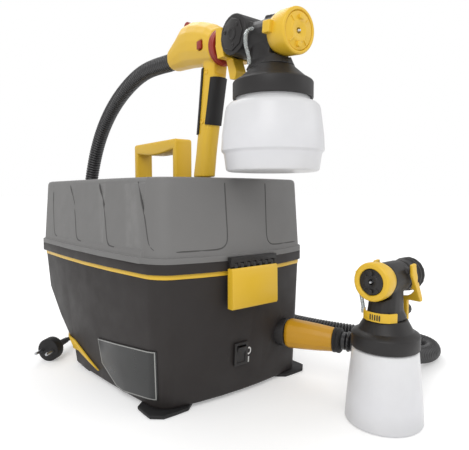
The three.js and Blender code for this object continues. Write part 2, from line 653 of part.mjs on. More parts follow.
function makeLid() {
  const lipTop = SEAM_HEIGHT + LIP_HEIGHT;
  const panel = SEAM_HEIGHT + LIP_TO_PANEL;
  const edge = LID_TOP - LID_EDGE;
  const level = (z, extra, k) => lidRing(z, lidInset(z) + extra, PANEL_STEP, k);
  const lip = (z, inset) => lidRing(z, inset, PANEL_STEP, 0);
  const wall = SHELL_WALL;
  const geometry = loft([
    level(LID_TOP - wall, wall + LID_EDGE, 0),
    level(edge - wall, wall, 0),
    lip(lipTop, LIP_PROUD + wall + 1),
    lip(SEAM_HEIGHT, LIP_PROUD + wall),
    lip(SEAM_HEIGHT, 0),
    lip(lipTop - 1, 0),
    level(lipTop, 0, 0),
    level(panel, 0, 0),
    level(panel + 4, 0, 1),
    level(edge, 0, 1),
    level(LID_TOP - LID_EDGE * 0.3, LID_EDGE * 0.3, 1),
    level(LID_TOP, LID_EDGE, 0.6),
  ]);
  const inner = HINGE_OUTER - KNUCKLE_WIDTH - GAP;
  const ears = [-1, 1].map((side) => {
    const [a, b] = [side * inner, side * (inner - KNUCKLE_WIDTH)];
    return knuckle(Math.min(a, b), Math.max(a, b), HALF_LENGTH - 1, lipTop - 2);
  });
  const dockHole = block(-9, 9, FOOT_BACK - 22, FOOT_BACK - 8, LID_TOP - 10, LID_TOP + 1);
  piece('lid', cut(join(geometry, ...ears), dockHole), LID_GREY);
}

function makeHingePin() {
  const half = HINGE_PIN_LENGTH / 2;
  piece('hinge_pin', rodAlongX(HINGE_PIN_RADIUS, -half, half, 12).translate(0, HINGE_Y, SEAM_HEIGHT), STEEL);
}

const LATCH_TOP = SEAM_HEIGHT - 9;
const LATCH_FACE = -HALF_LENGTH - 10;
const LATCH_AXIS_Y = -HALF_LENGTH - 5;
const LATCH_AXIS_Z = SEAM_HEIGHT - 5;

function makeLatch() {
  const half = LATCH_WIDTH / 2;
  const pitch = LATCH_WIDTH / (2 * LATCH_TEETH + 1);
  const frame = groupAt(0, 0, 0);
  const pinHole = (r) => rodAlongX(r, -half - 2, half + 2, 8).translate(0, LATCH_AXIS_Y, LATCH_AXIS_Z);
  // comb under the lid's lip
  const bar = block(-half, half, LATCH_AXIS_Y - 3.4, -HALF_LENGTH - GAP, SEAM_HEIGHT - 1.6, SEAM_HEIGHT + 5);
  const teeth = Array.from({ length: LATCH_TEETH + 1 }, (_, i) => {
    const x = -half + (2 * i + 0.5) * pitch;
    const [x0, x1] = [x - pitch * 0.45, x + pitch * 0.45];
    return join(block(x0, x1, LATCH_AXIS_Y - 3.4, LATCH_AXIS_Y + 3.4, LATCH_AXIS_Z, SEAM_HEIGHT),
      rodAlongX(3.4, x0, x1, 10).translate(0, LATCH_AXIS_Y, LATCH_AXIS_Z));
  });
  const pin = rodAlongX(LATCH_PIN_RADIUS, -half, half, 8).translate(0, LATCH_AXIS_Y, LATCH_AXIS_Z);
  piece('latch_comb', join(bar, ...teeth, pin), TRIM_BLACK, frame);
  // the latch: a shallow tray, open towards the tub
  const top = LATCH_TOP;
  const bottom = top - LATCH_HEIGHT;
  const back = -HALF_LENGTH - GAP;
  const slant = 1.5;
  const side = [[LATCH_FACE + 1.5, top], [LATCH_FACE - slant * 0.4, top - 4],
    [LATCH_FACE - slant, bottom + 3], [LATCH_FACE - slant + 1.5, bottom], [back, bottom],
    [back, LATCH_AXIS_Z - 5], [LATCH_FACE + 5, top]];
  const w = LATCH_WALL;
  const hollow = [[LATCH_FACE + w, top - w - 4], [LATCH_FACE + w - slant, bottom + w],
    [back + 1, bottom + w], [back + 1, top - w - 6]];
  const eyes = Array.from({ length: LATCH_TEETH }, (_, i) => {
    const x = -half + (2 * i + 1.5) * pitch;
    const r = 3.2;
    return join(rodAlongX(r, x - pitch * 0.45, x + pitch * 0.45, 8).translate(0, LATCH_AXIS_Y, LATCH_AXIS_Z),
      block(x - pitch * 0.45, x + pitch * 0.45, LATCH_AXIS_Y - r, LATCH_AXIS_Y + 1, top - 4, LATCH_AXIS_Z));
  });
  const tray = cut(plateAlongX(side, -half, half), plateAlongX(hollow, -half + w, half - w));
  piece('latch', cut(join(tray, ...eyes), pinHole(LATCH_PIN_RADIUS + GAP)), YELLOW, frame);
}

function makeCarryHandle() {
  const half = HANDLE_LENGTH / 2;
  const z0 = LID_TOP + GAP;
  const top = LID_TOP + HANDLE_HEIGHT;
  const shape = new THREE.Shape();
  shape.moveTo(-half, z0);
  shape.lineTo(-half, top - 6);
  shape.quadraticCurveTo(-half, top, -half + 6, top);
  shape.lineTo(half - 6, top);
  shape.quadraticCurveTo(half, top, half, top - 6);
  shape.lineTo(half, z0);
  shape.lineTo(half - HANDLE_LEG, z0);
  shape.lineTo(half - HANDLE_LEG, top - HANDLE_BAR);
  shape.quadraticCurveTo(0, top - HANDLE_BAR - 2 * HANDLE_BELLY, -half + HANDLE_LEG, top - HANDLE_BAR);
  shape.lineTo(-half + HANDLE_LEG, z0);
  const g = new THREE.ExtrudeGeometry(shape, { depth: HANDLE_WIDTH, bevelEnabled: false, curveSegments: 8 });
  g.rotateY(Math.PI / 2).rotateX(Math.PI / 2).translate(-HANDLE_WIDTH / 2, HANDLE_PLACE, 0);
  piece('carry_handle', g, YELLOW);
}

// ---------------------------------------------------------------- spray heads
// Built about the crossing of the gun axis (along Y, nozzle towards -Y) and the cup axis (Z).
const HEAD_A = {
  tag: 'a', tilt: THREE.MathUtils.degToRad(6.2),
  face: -44, ringRadius: 26.3, ringBack: -13, barrel: 21, barrelBack: 60, noseRadius: 19,
  rimRadius: 49.5, rimTop: -56, rimBottom: -76, coneTop: -38, coneRadius: 27, neckFront: -24, neckBack: 34,
  ventAt: [-31, 9], ventFrom: [14, 8],
  cup: [[0, -164], [54.5, -164], [57.8, -161.5], [60.3, -143.5], [63.6, -138], [58, -85], [45.7, -77]],
  wall: 1.8, tubeEnd: -152,
};
const HEAD_B = {
  tag: 'b', tilt: 0,
  face: -36, ringRadius: 23, ringBack: -12, barrel: 20, barrelBack: 28, noseRadius: 17,
  rimRadius: 40.5, rimTop: -66, rimBottom: -83, coneTop: -48, coneRadius: 25, neckFront: -25, neckBack: 23,
  ventAt: [-29, -4], ventFrom: [-6, 6],
  cup: [[0, -175], [43.5, -175], [46.5, -172], [39.4, -86], [36.8, -84]],
  wall: 1.8, tubeEnd: -162,
};
const CUP_PLAY = 0.8;         // radial room for the cup's neck in its lid
const VENT_RADIUS = 2.3;
const VENT_BORE = 1.4;
const SUCTION_RADIUS = 4;
const SUCTION_BORE = 2.6;
const NOZZLE_RADIUS = 3;
const TIP_PROUD = 1.2;

function roundedSection(z, x, y0, y1, power = 2.6) {
  const cy = (y0 + y1) / 2;
  const half = (y1 - y0) / 2;
  return couplingRing(0, x, half, power)
    .map((p) => new THREE.Vector3(p.x, cy + p.z, z));
}

function headBody(h) {
  const nose = -h.noseRadius;
  const barrel = turnedAlongY([[0, h.ringBack - 14], [h.noseRadius, h.ringBack - 14],
    [h.noseRadius, h.ringBack + GAP], [h.barrel, h.ringBack + GAP], [h.barrel, h.barrelBack - 3],
    [h.barrel - 3, h.barrelBack], [0, h.barrelBack]], 20).rotateX(h.tilt);
  const neck = loft([
    roundedSection(h.coneTop + GAP, h.coneRadius - 2, h.neckFront - 3, h.neckBack + 3),
    roundedSection(h.coneTop + 10, h.barrel - 2, h.neckFront, h.neckBack),
    roundedSection(nose * 0.2, h.barrel - 3, h.neckFront + 8, h.neckBack - 2),
  ]);
  return [barrel, neck];
}

function makeNozzle(h, body, ringMaterial, capMaterial) {
  const parent = groupAt(0, 0, 0, body);
  parent.rotation.x = h.tilt;
  const capBack = h.face + 6;
  const ring = turnedAlongY(closedLoop([
    [h.noseRadius + GAP, h.ringBack], [h.ringRadius - 3.5, h.ringBack],
    [h.ringRadius - 0.6, h.ringBack - 8], [h.ringRadius, h.face + 2], [h.ringRadius - 2, h.face],
    [h.ringRadius - 4, h.face], [h.ringRadius - 4.5, capBack + GAP], [h.noseRadius + GAP, capBack + GAP],
  ]), 20);
  const tab = block(-h.ringRadius - 5, -h.ringRadius + 3, h.ringBack - 13, h.ringBack - 1, -5, 9);
  const bore = turnedAlongY([[0, -60], [h.ringRadius - 4, -60], [h.ringRadius - 4, 0], [0, 0]], 20);
  piece(`nozzle_ring_${h.tag}`, join(ring, cut(tab, bore)), ringMaterial, parent);
  const capRadius = h.ringRadius - 4.5 - GAP;
  const horns = [-1, 1].map((s) => block(-4, 4, h.face - 3, h.face + 3, s * capRadius * 0.7 - 3.5,
    s * capRadius * 0.7 + 3.5));
  const cap = turnedAlongY(closedLoop([[NOZZLE_RADIUS + GAP, h.face + 1], [capRadius * 0.45, h.face],
    [capRadius, h.face + 1], [capRadius, capBack], [NOZZLE_RADIUS + GAP, capBack]]), 20);
  piece(`air_cap_${h.tag}`, join(cap, ...horns), capMaterial, parent);
  const tip = turnedAlongY([[0, h.face - TIP_PROUD], [1.2, h.face - TIP_PROUD], [NOZZLE_RADIUS, h.face + 3],
    [NOZZLE_RADIUS, h.ringBack - 14 - GAP], [0, h.ringBack - 14 - GAP]], 14);
  piece(`fluid_nozzle_${h.tag}`, tip, STEEL, parent);
}

function makeCupAndLid(h, parent) {
  const neckRadius = h.rimRadius - 3;
  const lid = turned(closedLoop([
    [SUCTION_RADIUS + 1, h.coneTop], [h.coneRadius, h.coneTop], [h.rimRadius - 5, h.rimTop + 3],
    [h.rimRadius, h.rimTop - 1], [h.rimRadius, h.rimBottom], [neckRadius + GAP, h.rimBottom],
    [neckRadius + GAP, h.rimTop - 4], [h.rimRadius - 7, h.rimTop - 2],
    [h.coneRadius - 2, h.coneTop - 4], [SUCTION_RADIUS + 1, h.coneTop - 4],
  ]), 20);
  const [vx, vy] = h.ventAt;
  const port = rod(4.6, h.rimTop - 1, h.coneTop + 1, 14).translate(vx, vy, 0);
  const lidGeometry = join(lid, port);
  piece(`cup_lid_${h.tag}`, lidGeometry, TRIM_BLACK, parent);

  const outer = [...h.cup, [neckRadius - CUP_PLAY, h.rimTop - 4 - GAP]];
  const floor = h.cup[0][1] + h.wall;
  const walls = outer.slice(3).reverse().map(([r, z], i) => [r - h.wall, i < 2 ? z : z - h.wall * 0.4]);
  const inner = [...walls, [h.cup[1][0] - 1, floor], [0, floor]];
  piece(`cup_${h.tag}`, turned([...outer, ...inner], 20), CUP_WHITE, parent);

  const suction = turned(tubeProfile(SUCTION_BORE, SUCTION_RADIUS, h.tubeEnd, h.coneTop + 16), 12);
  piece(`suction_tube_${h.tag}`, suction, CLEAR, parent);
}

const ringRoom = (h) => turnedAlongY(
  tubeProfile(h.noseRadius - 0.05, h.ringRadius + 1.5, -60, h.ringBack + GAP)).rotateX(h.tilt);
const suctionSocket = (h) => rod(SUCTION_RADIUS + GAP, h.coneTop - 5, h.coneTop + 16 + GAP, 12);

function makeVentTube(h, parent) {
  const [vx, vy] = h.ventAt;
  const [fy, fz] = h.ventFrom;
  const side = -h.barrel;
  const low = h.coneTop + 1 + GAP;
  const out = 9;
  const points = [[side + 6, fy, fz], [side - 1, fy, fz + 0.5], [side - out, fy + 1, fz - 5],
    [vx - 3, (fy + vy) / 2, (fz + low) / 2], [vx, vy, low + 8], [vx, vy, low]];
  const tube = tubeThrough(points, VENT_RADIUS, VENT_BORE, 8, 6);
  const clear = rodAlongY(h.barrel + GAP + 0.4, -60, 90, 20).rotateX(h.tilt);
  piece(`vent_tube_${h.tag}`, cut(tube, clear), CLEAR, parent);
}

// ---------------------------------------------------------------- gun A, parked on the lid
const GUN_A_Y = -241;
const GUN_A_Z = 468.5;
const FOOT_BACK = -76;          // rear face of the grip's foot, measured on the lid
const gunA = groupAt(0, GUN_A_Y, GUN_A_Z);
const localA = (y, z) => [y - GUN_A_Y, z - GUN_A_Z];
const onAxisA = (geometry) => geometry.rotateX(HEAD_A.tilt).translate(0, GUN_A_Y, GUN_A_Z);
const COLLAR_A = { from: 93, to: 104.5, radius: 25 };   // along the gun's axis from its head
const GUN_TAIL = { y: -15, z: 490.5, radius: 17.8 };
const GRIP_TOP = [-122, 466];
const GRIP_FOOT = [-92, LID_TOP + 4];
const DISC_RADIUS = 25.5;
const DIAL_A = [-60, 527];
const TRIGGER_PIVOT_A = [-160, 492];

// stations along the handle's rear body: y, centre height, half width, half height
const BODY_STATIONS = [
  [-144, 478, 24, 24], [-123, 487, 24, 29], [-99, 494, 23.5, 32],
  [-76, 499, 23, 33], [-55, 501, 21.5, 32], [-34, 495, 19.5, 24],
  [GUN_TAIL.y, GUN_TAIL.z, GUN_TAIL.radius, GUN_TAIL.radius],
];

function sectionAlongY(y, z, wide, tall) {
  return couplingRing(y, wide, tall, 2.3).map((p) => new THREE.Vector3(p.x, p.y, p.z + z));
}

function gripSolid(grow) {
  const stations = 6;
  const rings = Array.from({ length: stations }, (_, i) => {
    const t = i / (stations - 1);
    const y = THREE.MathUtils.lerp(GRIP_TOP[0], GRIP_FOOT[0], t);
    const z = THREE.MathUtils.lerp(GRIP_TOP[1], GRIP_FOOT[1], t);
    const deep = 19.5 - 4 * Math.sin(Math.min(t * 1.25, 1) * Math.PI * 0.5) + (t > 0.9 ? 2 : 0);
    return roundedSection(z, 14 + grow - t, y - deep - grow, y + deep + grow, 2.8);
  });
  return loft(rings.reverse());
}

function makeGripA() {
  const body = loft(BODY_STATIONS.map(([y, z, w, t]) => sectionAlongY(y, z, w, t)));
  const socket = rodAlongY(HOSE_BORE, GUN_TAIL.y - 30, GUN_TAIL.y + 2, 16).translate(0, 0, GUN_TAIL.z);
  const tongue = block(-7, 7, FOOT_BACK - 20, FOOT_BACK - 10, LID_TOP - 6, GRIP_FOOT[1] + 4);
  const bore = onAxisA(rodAlongY(16, COLLAR_A.to - 20, COLLAR_A.to + 12, 20));
  const buttonSeat = block(-30, -11.8, -122, -110, 478, 491);
  const dialSeat = rodAlongX(8 + GAP, -9 - GAP, 9 + GAP, 12).translate(0, DIAL_A[0], DIAL_A[1]);
  const collarRoom = onAxisA(rodAlongY(COLLAR_A.radius + 12, COLLAR_A.from - 20, COLLAR_A.to + GAP, 20));
  const g = cut(join(body, gripSolid(0), tongue), socket, bore, buttonSeat, dialSeat, collarRoom);
  piece('grip_a', g.translate(0, -GUN_A_Y, -GUN_A_Z), YELLOW, gunA);
  piece('release_button_a', block(-25.5, -14.3, -121.4, -110.6, 478.6, 490.4)
    .translate(0, -GUN_A_Y, -GUN_A_Z), RED, gunA);
  const dial = rodAlongX(8, -9, 9, 12).translate(0, DIAL_A[0], DIAL_A[1]);
  piece('air_dial_a', dial.translate(0, -GUN_A_Y, -GUN_A_Z), RED, gunA);
}

function makePadsA() {
  const thick = 1.6;
  const shell = cut(gripSolid(GAP + thick), gripSolid(GAP));
  const body = loft(BODY_STATIONS.map(([y, z, w, t]) => sectionAlongY(y, z, w + GAP, t + GAP)));
  const lean = (y0, z0, y1, z1, y2, z2, y3, z3) =>
    plateAlongX([[y0, z0], [y1, z1], [y2, z2], [y3, z3]], -30, 30);
  const front = keep(shell, lean(-150, 440, -128, 440, -114, 376, -150, 371));
  const rear = keep(shell, lean(-112, 456, -60, 456, -60, 364, -99, 364));
  piece('grip_pad_front_a', cut(front, body).translate(0, -GUN_A_Y, -GUN_A_Z), RUBBER, gunA);
  piece('grip_pad_rear_a', cut(rear, body).translate(0, -GUN_A_Y, -GUN_A_Z), RUBBER, gunA);
}

function makeHeadA() {
  const h = HEAD_A;
  const discs = rodAlongX(DISC_RADIUS, -h.barrel - 5, h.barrel + 5, 20).translate(0, 47.5, 9.5);
  const tail = rodAlongY(18, 20, COLLAR_A.from - GAP, 20).rotateX(h.tilt);
  const plug = rodAlongY(15.5, 60, COLLAR_A.to + 11, 20).rotateX(h.tilt);
  const roof = plateAlongX([[18, 10], [22, 20], [59, 34], [69, 30], [80, 22], [84, 8]], -17, 17);
  const rail = plateAlongX([[-12, 14], [-12, 22], [6, 25], [12, 14]], -8, 8);
  const body = join(...headBody(h), discs, tail, plug, roof, rail);
  piece('head_a', cut(body, suctionSocket(h), ringRoom(h)), TRIM_BLACK, gunA);
  const { from, to, radius } = COLLAR_A;
  const ring = turnedAlongY(closedLoop([[18.4, from], [radius - 1.5, from], [radius, from + 2],
    [radius, to - 2], [radius - 1.5, to], [18.4, to]])).rotateX(h.tilt);
  piece('collar_a', ring, RED, gunA);
}

function makeTriggerA() {
  const [py, pz] = localA(...TRIGGER_PIVOT_A);
  const inner = 18 + 1;
  const outer = inner + 5;
  const profile = [[py - 7, pz + 3], [py + 5, pz + 5], [py + 6, pz - 20], [py + 1, pz - 38],
    [py - 6, pz - 62], [py - 17, pz - 64], [py - 20, pz - 54], [py - 11, pz - 32], [py - 9, pz - 16]];
  const slab = plateAlongX(profile, -outer, outer);
  const tunnel = rodAlongY(inner, -20, 140, 24).rotateX(HEAD_A.tilt);
  const above = block(-inner, inner, -20, 140, pz - 12, pz + 30);
  const discs = rodAlongX(DISC_RADIUS + GAP + 0.4, -60, 60, 20).translate(0, 47.5, 9.5);
  const narrow = [-1, 1].map((s) => plateAlongX([[-40, -80], [-40, pz - 36], [140, pz - 36], [140, -80]],
    s > 0 ? 9 : -40, s > 0 ? 40 : -9));
  const below = rodAlongY(HEAD_A.barrel + GAP + 0.4, -40, HEAD_A.barrelBack + GAP, 20).rotateX(HEAD_A.tilt);
  piece('trigger_a', cut(slab, tunnel, above, discs, below, ...narrow), YELLOW, gunA);
}

// ---------------------------------------------------------------- head B, standing on the floor
const GUN_B_PLACE = [91.5, -345.7];
const GUN_B_TURN = THREE.MathUtils.degToRad(-86.5);   // its nozzle looks left
const gunB = groupAt(GUN_B_PLACE[0], GUN_B_PLACE[1], -HEAD_B.cup[0][1]);
gunB.rotation.z = GUN_B_TURN;
const SOCKET_BORE = 14;
const TRIGGER_PIVOT_B = [17, 10];
const TRIGGER_ROOM_B = 22.1;  // inside the trigger's fork
const DIAL_B = { y: 43, z: -45, radius: 7.5, depth: 7 };   // flow dial on the back of the trigger

function makeHeadB() {
  const h = HEAD_B;
  const [py, pz] = TRIGGER_PIVOT_B;
  const trunnion = rodAlongX(4, -TRIGGER_ROOM_B + GAP, TRIGGER_ROOM_B - GAP, 12).translate(0, py, pz);
  const body = join(...headBody(h), trunnion);
  piece('head_b', cut(body, suctionSocket(h), ringRoom(h)), TRIM_BLACK, gunB);
  const start = h.barrelBack + GAP;
  const ribs = [];
  for (let i = 0; i < 2; i += 1) {
    const y = start + 15 + i * 8;
    ribs.push([19.5, y], [21.5, y + 1], [21.5, y + 4], [19.5, y + 5]);
  }
  const end = start + 31;
  const socket = turnedAlongY([[0, start], [17, start], [19.5, start + 3],
    ...ribs, [19.5, end], [0, end]], 16);
  const bore = rodAlongY(SOCKET_BORE, start + 8, end + 1, 32);
  piece('handle_socket_b', cut(socket, bore), TRIM_BLACK, gunB);
}

function makeTriggerB() {
  const [py, pz] = TRIGGER_PIVOT_B;
  const inner = TRIGGER_ROOM_B;
  const outer = inner + 4;
  const profile = [[py - 5, pz + 8], [py + 5, pz + 9], [py + 7, pz - 2], [py + 23, pz - 36],
    [py + 24, pz - 66], [py + 18.5, pz - 66], [py + 17, pz - 38], [py - 3, pz - 6]];
  const slab = plateAlongX(profile, -outer, outer);
  const tunnel = rodAlongY(inner, -20, 140, 20);
  const above = block(-inner, inner, -20, 140, 0, 60);
  const behind = rodAlongY(inner + 4, py + 9, 140, 20);
  const boss = rodAlongY(4.5, DIAL_B.y - 4, DIAL_B.y).translate(0, 0, DIAL_B.z);
  const narrow = [-1, 1].map((s) => plateAlongX([[-40, -90], [-40, -30], [140, -30], [140, -90]],
    s > 0 ? 9 : -40, s > 0 ? 40 : -9));
  piece('trigger_b', join(cut(slab, tunnel, above, behind, ...narrow), boss), YELLOW, gunB);
}

function makeDialB() {
  const d = DIAL_B;
  const from = d.y + GAP;
  piece('flow_dial_b', rodAlongY(d.radius, from, from + d.depth).translate(0, 0, d.z), TRIM_BLACK, gunB);
}

function makeBandB() {
  const h = HEAD_B;
  const z0 = h.coneTop + 6;
  const z1 = z0 + 11;
  const section = (z, g) => roundedSection(z, h.barrel + 1 + g, h.neckFront - 2 - g, h.neckBack + 2 + g);
  const inside = loft([section(z0 - 1, 0), section(z1 + 1, 0)]);
  const shell = cut(loft([section(z0, 1.6), section(z1, 1.6)]), inside, block(-40, 40, 4, 60, -80, 0));
  piece('scale_band_b', shell, YELLOW, gunB);
}

// ---------------------------------------------------------------- hose and mains lead
// the hose's middle line: a rough route, smoothed, straight out of each end
function hoseRoute() {
  const at = outletCentre();
  const axis = new THREE.Vector3(Math.sin(OUTLET_ANGLE), -Math.cos(OUTLET_ANGLE), 0);
  const lead = (along) => at.clone().addScaledVector(axis, -CUFF_STOP + GAP + along).toArray();
  const low = HOSE_RADIUS + 0.4;
  const rough = [
    lead(HOSE_RADIUS), lead(2 * HOSE_RADIUS),
    [141, -303, 69], [168, -305, 59], [200, -297, 47], [232, -290, 36], [264, -286, 25],
    [298, -288, low + 1], [334, -285, low], [362, -265, low], [366, -236, low], [354, -206, low],
    [330, -165, low], [302, -105, low],
    [279, -20, low], [272, 50, low], [266, 124, low], [256, 196, low], [230, 266, low],
    [190, 326, low], [138, 368, low], [82, 392, low + 8], [38, 400, 44], [10, 398, 92],
    [0, 393, 150], [0, 386, 210], [0, 372, 270], [0, 350, 325], [0, 328, 365], [0, 309, 391],
    [0, 277, 421], [0, 238, 448], [0, 199, 467], [0, 154, 482.5], [0, 120, 491], [0, 86, 495.5],
    [0, 60, 495], [0, 34, 492.3],
    [0, GUN_TAIL.y + 2 * HOSE_RADIUS, GUN_TAIL.z], [0, GUN_TAIL.y + GAP, GUN_TAIL.z],
  ];
  return [lead(0), lead(HOSE_RADIUS / 2), ...smoothed(rough, 96, 5)];
}

// evenly spaced points along the route, each drawn towards its neighbours, with both ends held straight
function smoothed(rough, count, rounds) {
  const curve = new THREE.CatmullRomCurve3(rough.map((p) => new THREE.Vector3(...p)), false, 'centripetal');
  curve.arcLengthDivisions = 2000;
  let points = curve.getSpacedPoints(count);
  for (let r = 0; r < rounds; r += 1) {
    points = points.map((p, i) => (i < 2 || i > count - 2 ? p
      : p.clone().multiplyScalar(2).add(points[i - 1]).add(points[i + 1]).divideScalar(4)));
  }
  return points.map((p) => p.toArray());
}

function makeHose() {
  const sides = 8;
  const steps = 2 * HOSE_RIBS;
  const frames = framesAlong(hoseRoute(), steps);
  const straight = 4;
  const outer = frames.map((f, i) => {
    const plainEnd = i < straight || i > steps - straight;
    return ringOn(f, plainEnd || i % 2 ? HOSE_VALLEY : HOSE_RADIUS, sides);
  });
  const every = 10;
  const bore = frames.filter((_, i) => i % every === 0).map((f) => ringOn(f, HOSE_BORE, sides));
  piece('air_hose', loft([...outer, ...bore.reverse()], true), RUBBER);
  cordPieces.push('air_hose');
}

// two layers of turns: in along the floor, up in one wide turn at the middle, out again on top
function coilRoute() {
  const [cx, cy] = COIL_CENTRE;
  const perTurn = 24;
  const flat = COIL_TURNS * perTurn;
  const bend = COIL_PITCH / 2;
  const narrow = COIL_MEAN_RADIUS - (COIL_TURNS * COIL_PITCH) / 2;
  const low = LEAD_RADIUS + 0.3;
  return Array.from({ length: 2 * flat + perTurn + 1 }, (_, i) => {
    const turn = THREE.MathUtils.clamp((i - flat) / perTurn, 0, 1) * Math.PI;
    const steps = turn < Math.PI ? Math.max(flat - i, 0) : i - flat - perTurn;
    const r = narrow + steps * (COIL_PITCH / perTurn) - bend * Math.sin(turn);
    const angle = COIL_START - (i / perTurn) * Math.PI * 2;
    const z = low + bend * (1 - Math.cos(turn));
    return [cx + r * Math.cos(angle), cy + r * Math.sin(angle), z];
  });
}

function leastSelfGap(points, radius, skip) {
  let least = Infinity;
  const v = points.map((p) => new THREE.Vector3(...p));
  for (let i = 0; i < v.length; i += 1) {
    for (let j = i + skip; j < v.length; j += 1) least = Math.min(least, v[i].distanceTo(v[j]) - 2 * radius);
  }
  return least;
}

function tangentAt(points, end) {
  const [a, b] = end ? points.slice(-2) : [points[1], points[0]];
  return new THREE.Vector3(...b).sub(new THREE.Vector3(...a)).normalize();
}

const GLAND_LENGTH = 30;
const PLUG_AT = [-167, 117];
const PLUG_HEADING = THREE.MathUtils.degToRad(40);   // the lead leaves the plug this way, from +X

function makeMains() {
  const coil = coilRoute();
  const sides = 6;
  piece('mains_coil', tubeThrough(coil, LEAD_RADIUS, 0, coil.length - 1, sides), RUBBER);
  console.log('least gap between turns of the mains coil:', leastSelfGap(coil, LEAD_RADIUS, 12).toFixed(2));

  const flange = GAP + 3;
  const gland = turnedAlongY([[0, -8], [GLAND_RADIUS - 2, -8], [GLAND_RADIUS - 2, GAP],
    [GLAND_RADIUS + 1, GAP], [GLAND_RADIUS + 1, flange], [LEAD_RADIUS + 1, GLAND_LENGTH],
    [0, GLAND_LENGTH]], 12);
  piece('mains_gland', onHeel(gland), RUBBER);

  const gap = GAP;
  const into = tangentAt(coil, false).multiplyScalar(-1);
  const coilIn = new THREE.Vector3(...coil[0]).addScaledVector(into, -gap);
  const outOfHeel = new THREE.Vector3(0, Math.cos(HEEL_LEAN), -Math.sin(HEEL_LEAN));
  const from = new THREE.Vector3(GLAND_PLACE[0], rearAt(GLAND_PLACE[1]), GLAND_PLACE[1])
    .addScaledVector(outOfHeel, GLAND_LENGTH + gap);
  const leadIn = [from, from.clone().addScaledVector(outOfHeel, 6),
    coilIn.clone().addScaledVector(into, -9), coilIn];
  piece('mains_lead_in', tubeThrough(leadIn.map((p) => p.toArray()), LEAD_RADIUS, 0, 14, 8), RUBBER);

  const out = tangentAt(coil, true);
  const coilOut = new THREE.Vector3(...coil.at(-1)).addScaledVector(out, gap);
  const way = new THREE.Vector3(Math.cos(PLUG_HEADING), Math.sin(PLUG_HEADING), 0);
  const plugEnd = new THREE.Vector3(PLUG_AT[0], PLUG_AT[1], PLUG_RADIUS + 0.2);
  const reliefEnd = plugEnd.clone().addScaledVector(way, PLUG_LENGTH / 2 + 34);
  const leadOut = [coilOut, coilOut.clone().addScaledVector(out, 9), new THREE.Vector3(-36, 178, 8),
    new THREE.Vector3(-56, 194, 5), new THREE.Vector3(-84, 192, 5), new THREE.Vector3(-107, 175, 9),
    reliefEnd.clone().addScaledVector(way, 7), reliefEnd.clone().addScaledVector(way, gap)];
  piece('mains_lead_out', tubeThrough(leadOut.map((p) => p.toArray()), LEAD_RADIUS, 0, 16, 8), RUBBER);

  const plug = new THREE.Group();
  plug.position.copy(plugEnd);
  plug.rotation.z = PLUG_HEADING - Math.PI / 2;
  whole.add(plug);
  const half = PLUG_LENGTH / 2;
  const disc = turnedAlongY([[0, -half], [PLUG_RADIUS - 1.5, -half], [PLUG_RADIUS, -half + 1.5],
    [PLUG_RADIUS, half - 6], [13, half], [7, half + 4], [4.4, half + 34 - gap], [0, half + 34 - gap]], 16);
  piece('plug', disc, RUBBER, plug);
  for (const side of [-1, 1]) {
    const pin = rodAlongY(PIN_RADIUS, -half - gap - PIN_LENGTH, -half - gap, 12)
      .translate((side * PIN_SPACING) / 2, 0, 0);
    piece(side < 0 ? 'plug_pin_left' : 'plug_pin_right', pin, STEEL, plug);
  }
  cordPieces.push('mains_coil', 'mains_lead_in', 'mains_lead_out', 'plug', 'plug_pin_left', 'plug_pin_right');
}

// ---------------------------------------------------------------- assembly
makeTub();
makeStripe();
makeFeet();
makeLabel();
makeFilterCover();
makeSwitch();
makeOutlet();
makeCoupling();
makeBlower();
makeDuct();
makeDeck();
makeFilter();
makeLid();
makeHingePin();
makeLatch();
makeCarryHandle();
makeHeadA();
makeGripA();
makePadsA();
makeTriggerA();
makeNozzle(HEAD_A, gunA, YELLOW, YELLOW);
makeCupAndLid(HEAD_A, gunA);
makeVentTube(HEAD_A, gunA);
makeHeadB();
makeTriggerB();
makeDialB();
makeBandB();
makeNozzle(HEAD_B, gunB, YELLOW, TRIM_BLACK);
makeCupAndLid(HEAD_B, gunB);
makeVentTube(HEAD_B, gunB);
makeHose();
makeMains();

// the origin: under the middle of everything but the hose, the lead and what is on them
const bounds = new THREE.Box3();
whole.updateMatrixWorld(true);
whole.traverse((o) => {
  if (o.isMesh && !cordPieces.includes(o.name)) bounds.expandByObject(o, true);
});
const middle = bounds.getCenter(new THREE.Vector3());
whole.position.set(-middle.x, -middle.y, -bounds.min.z);
console.log('origin shift:', whole.position.toArray().map((v) => v.toFixed(4)).join(' '));

export default whole;
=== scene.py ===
# Turbine paint sprayer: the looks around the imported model. Lengths are in metres, +Z up,
# the latch side of the base faces -Y.
import json
import math

import bpy
from mathutils import Matrix, Vector
from mathutils.bvhtree import BVHTree


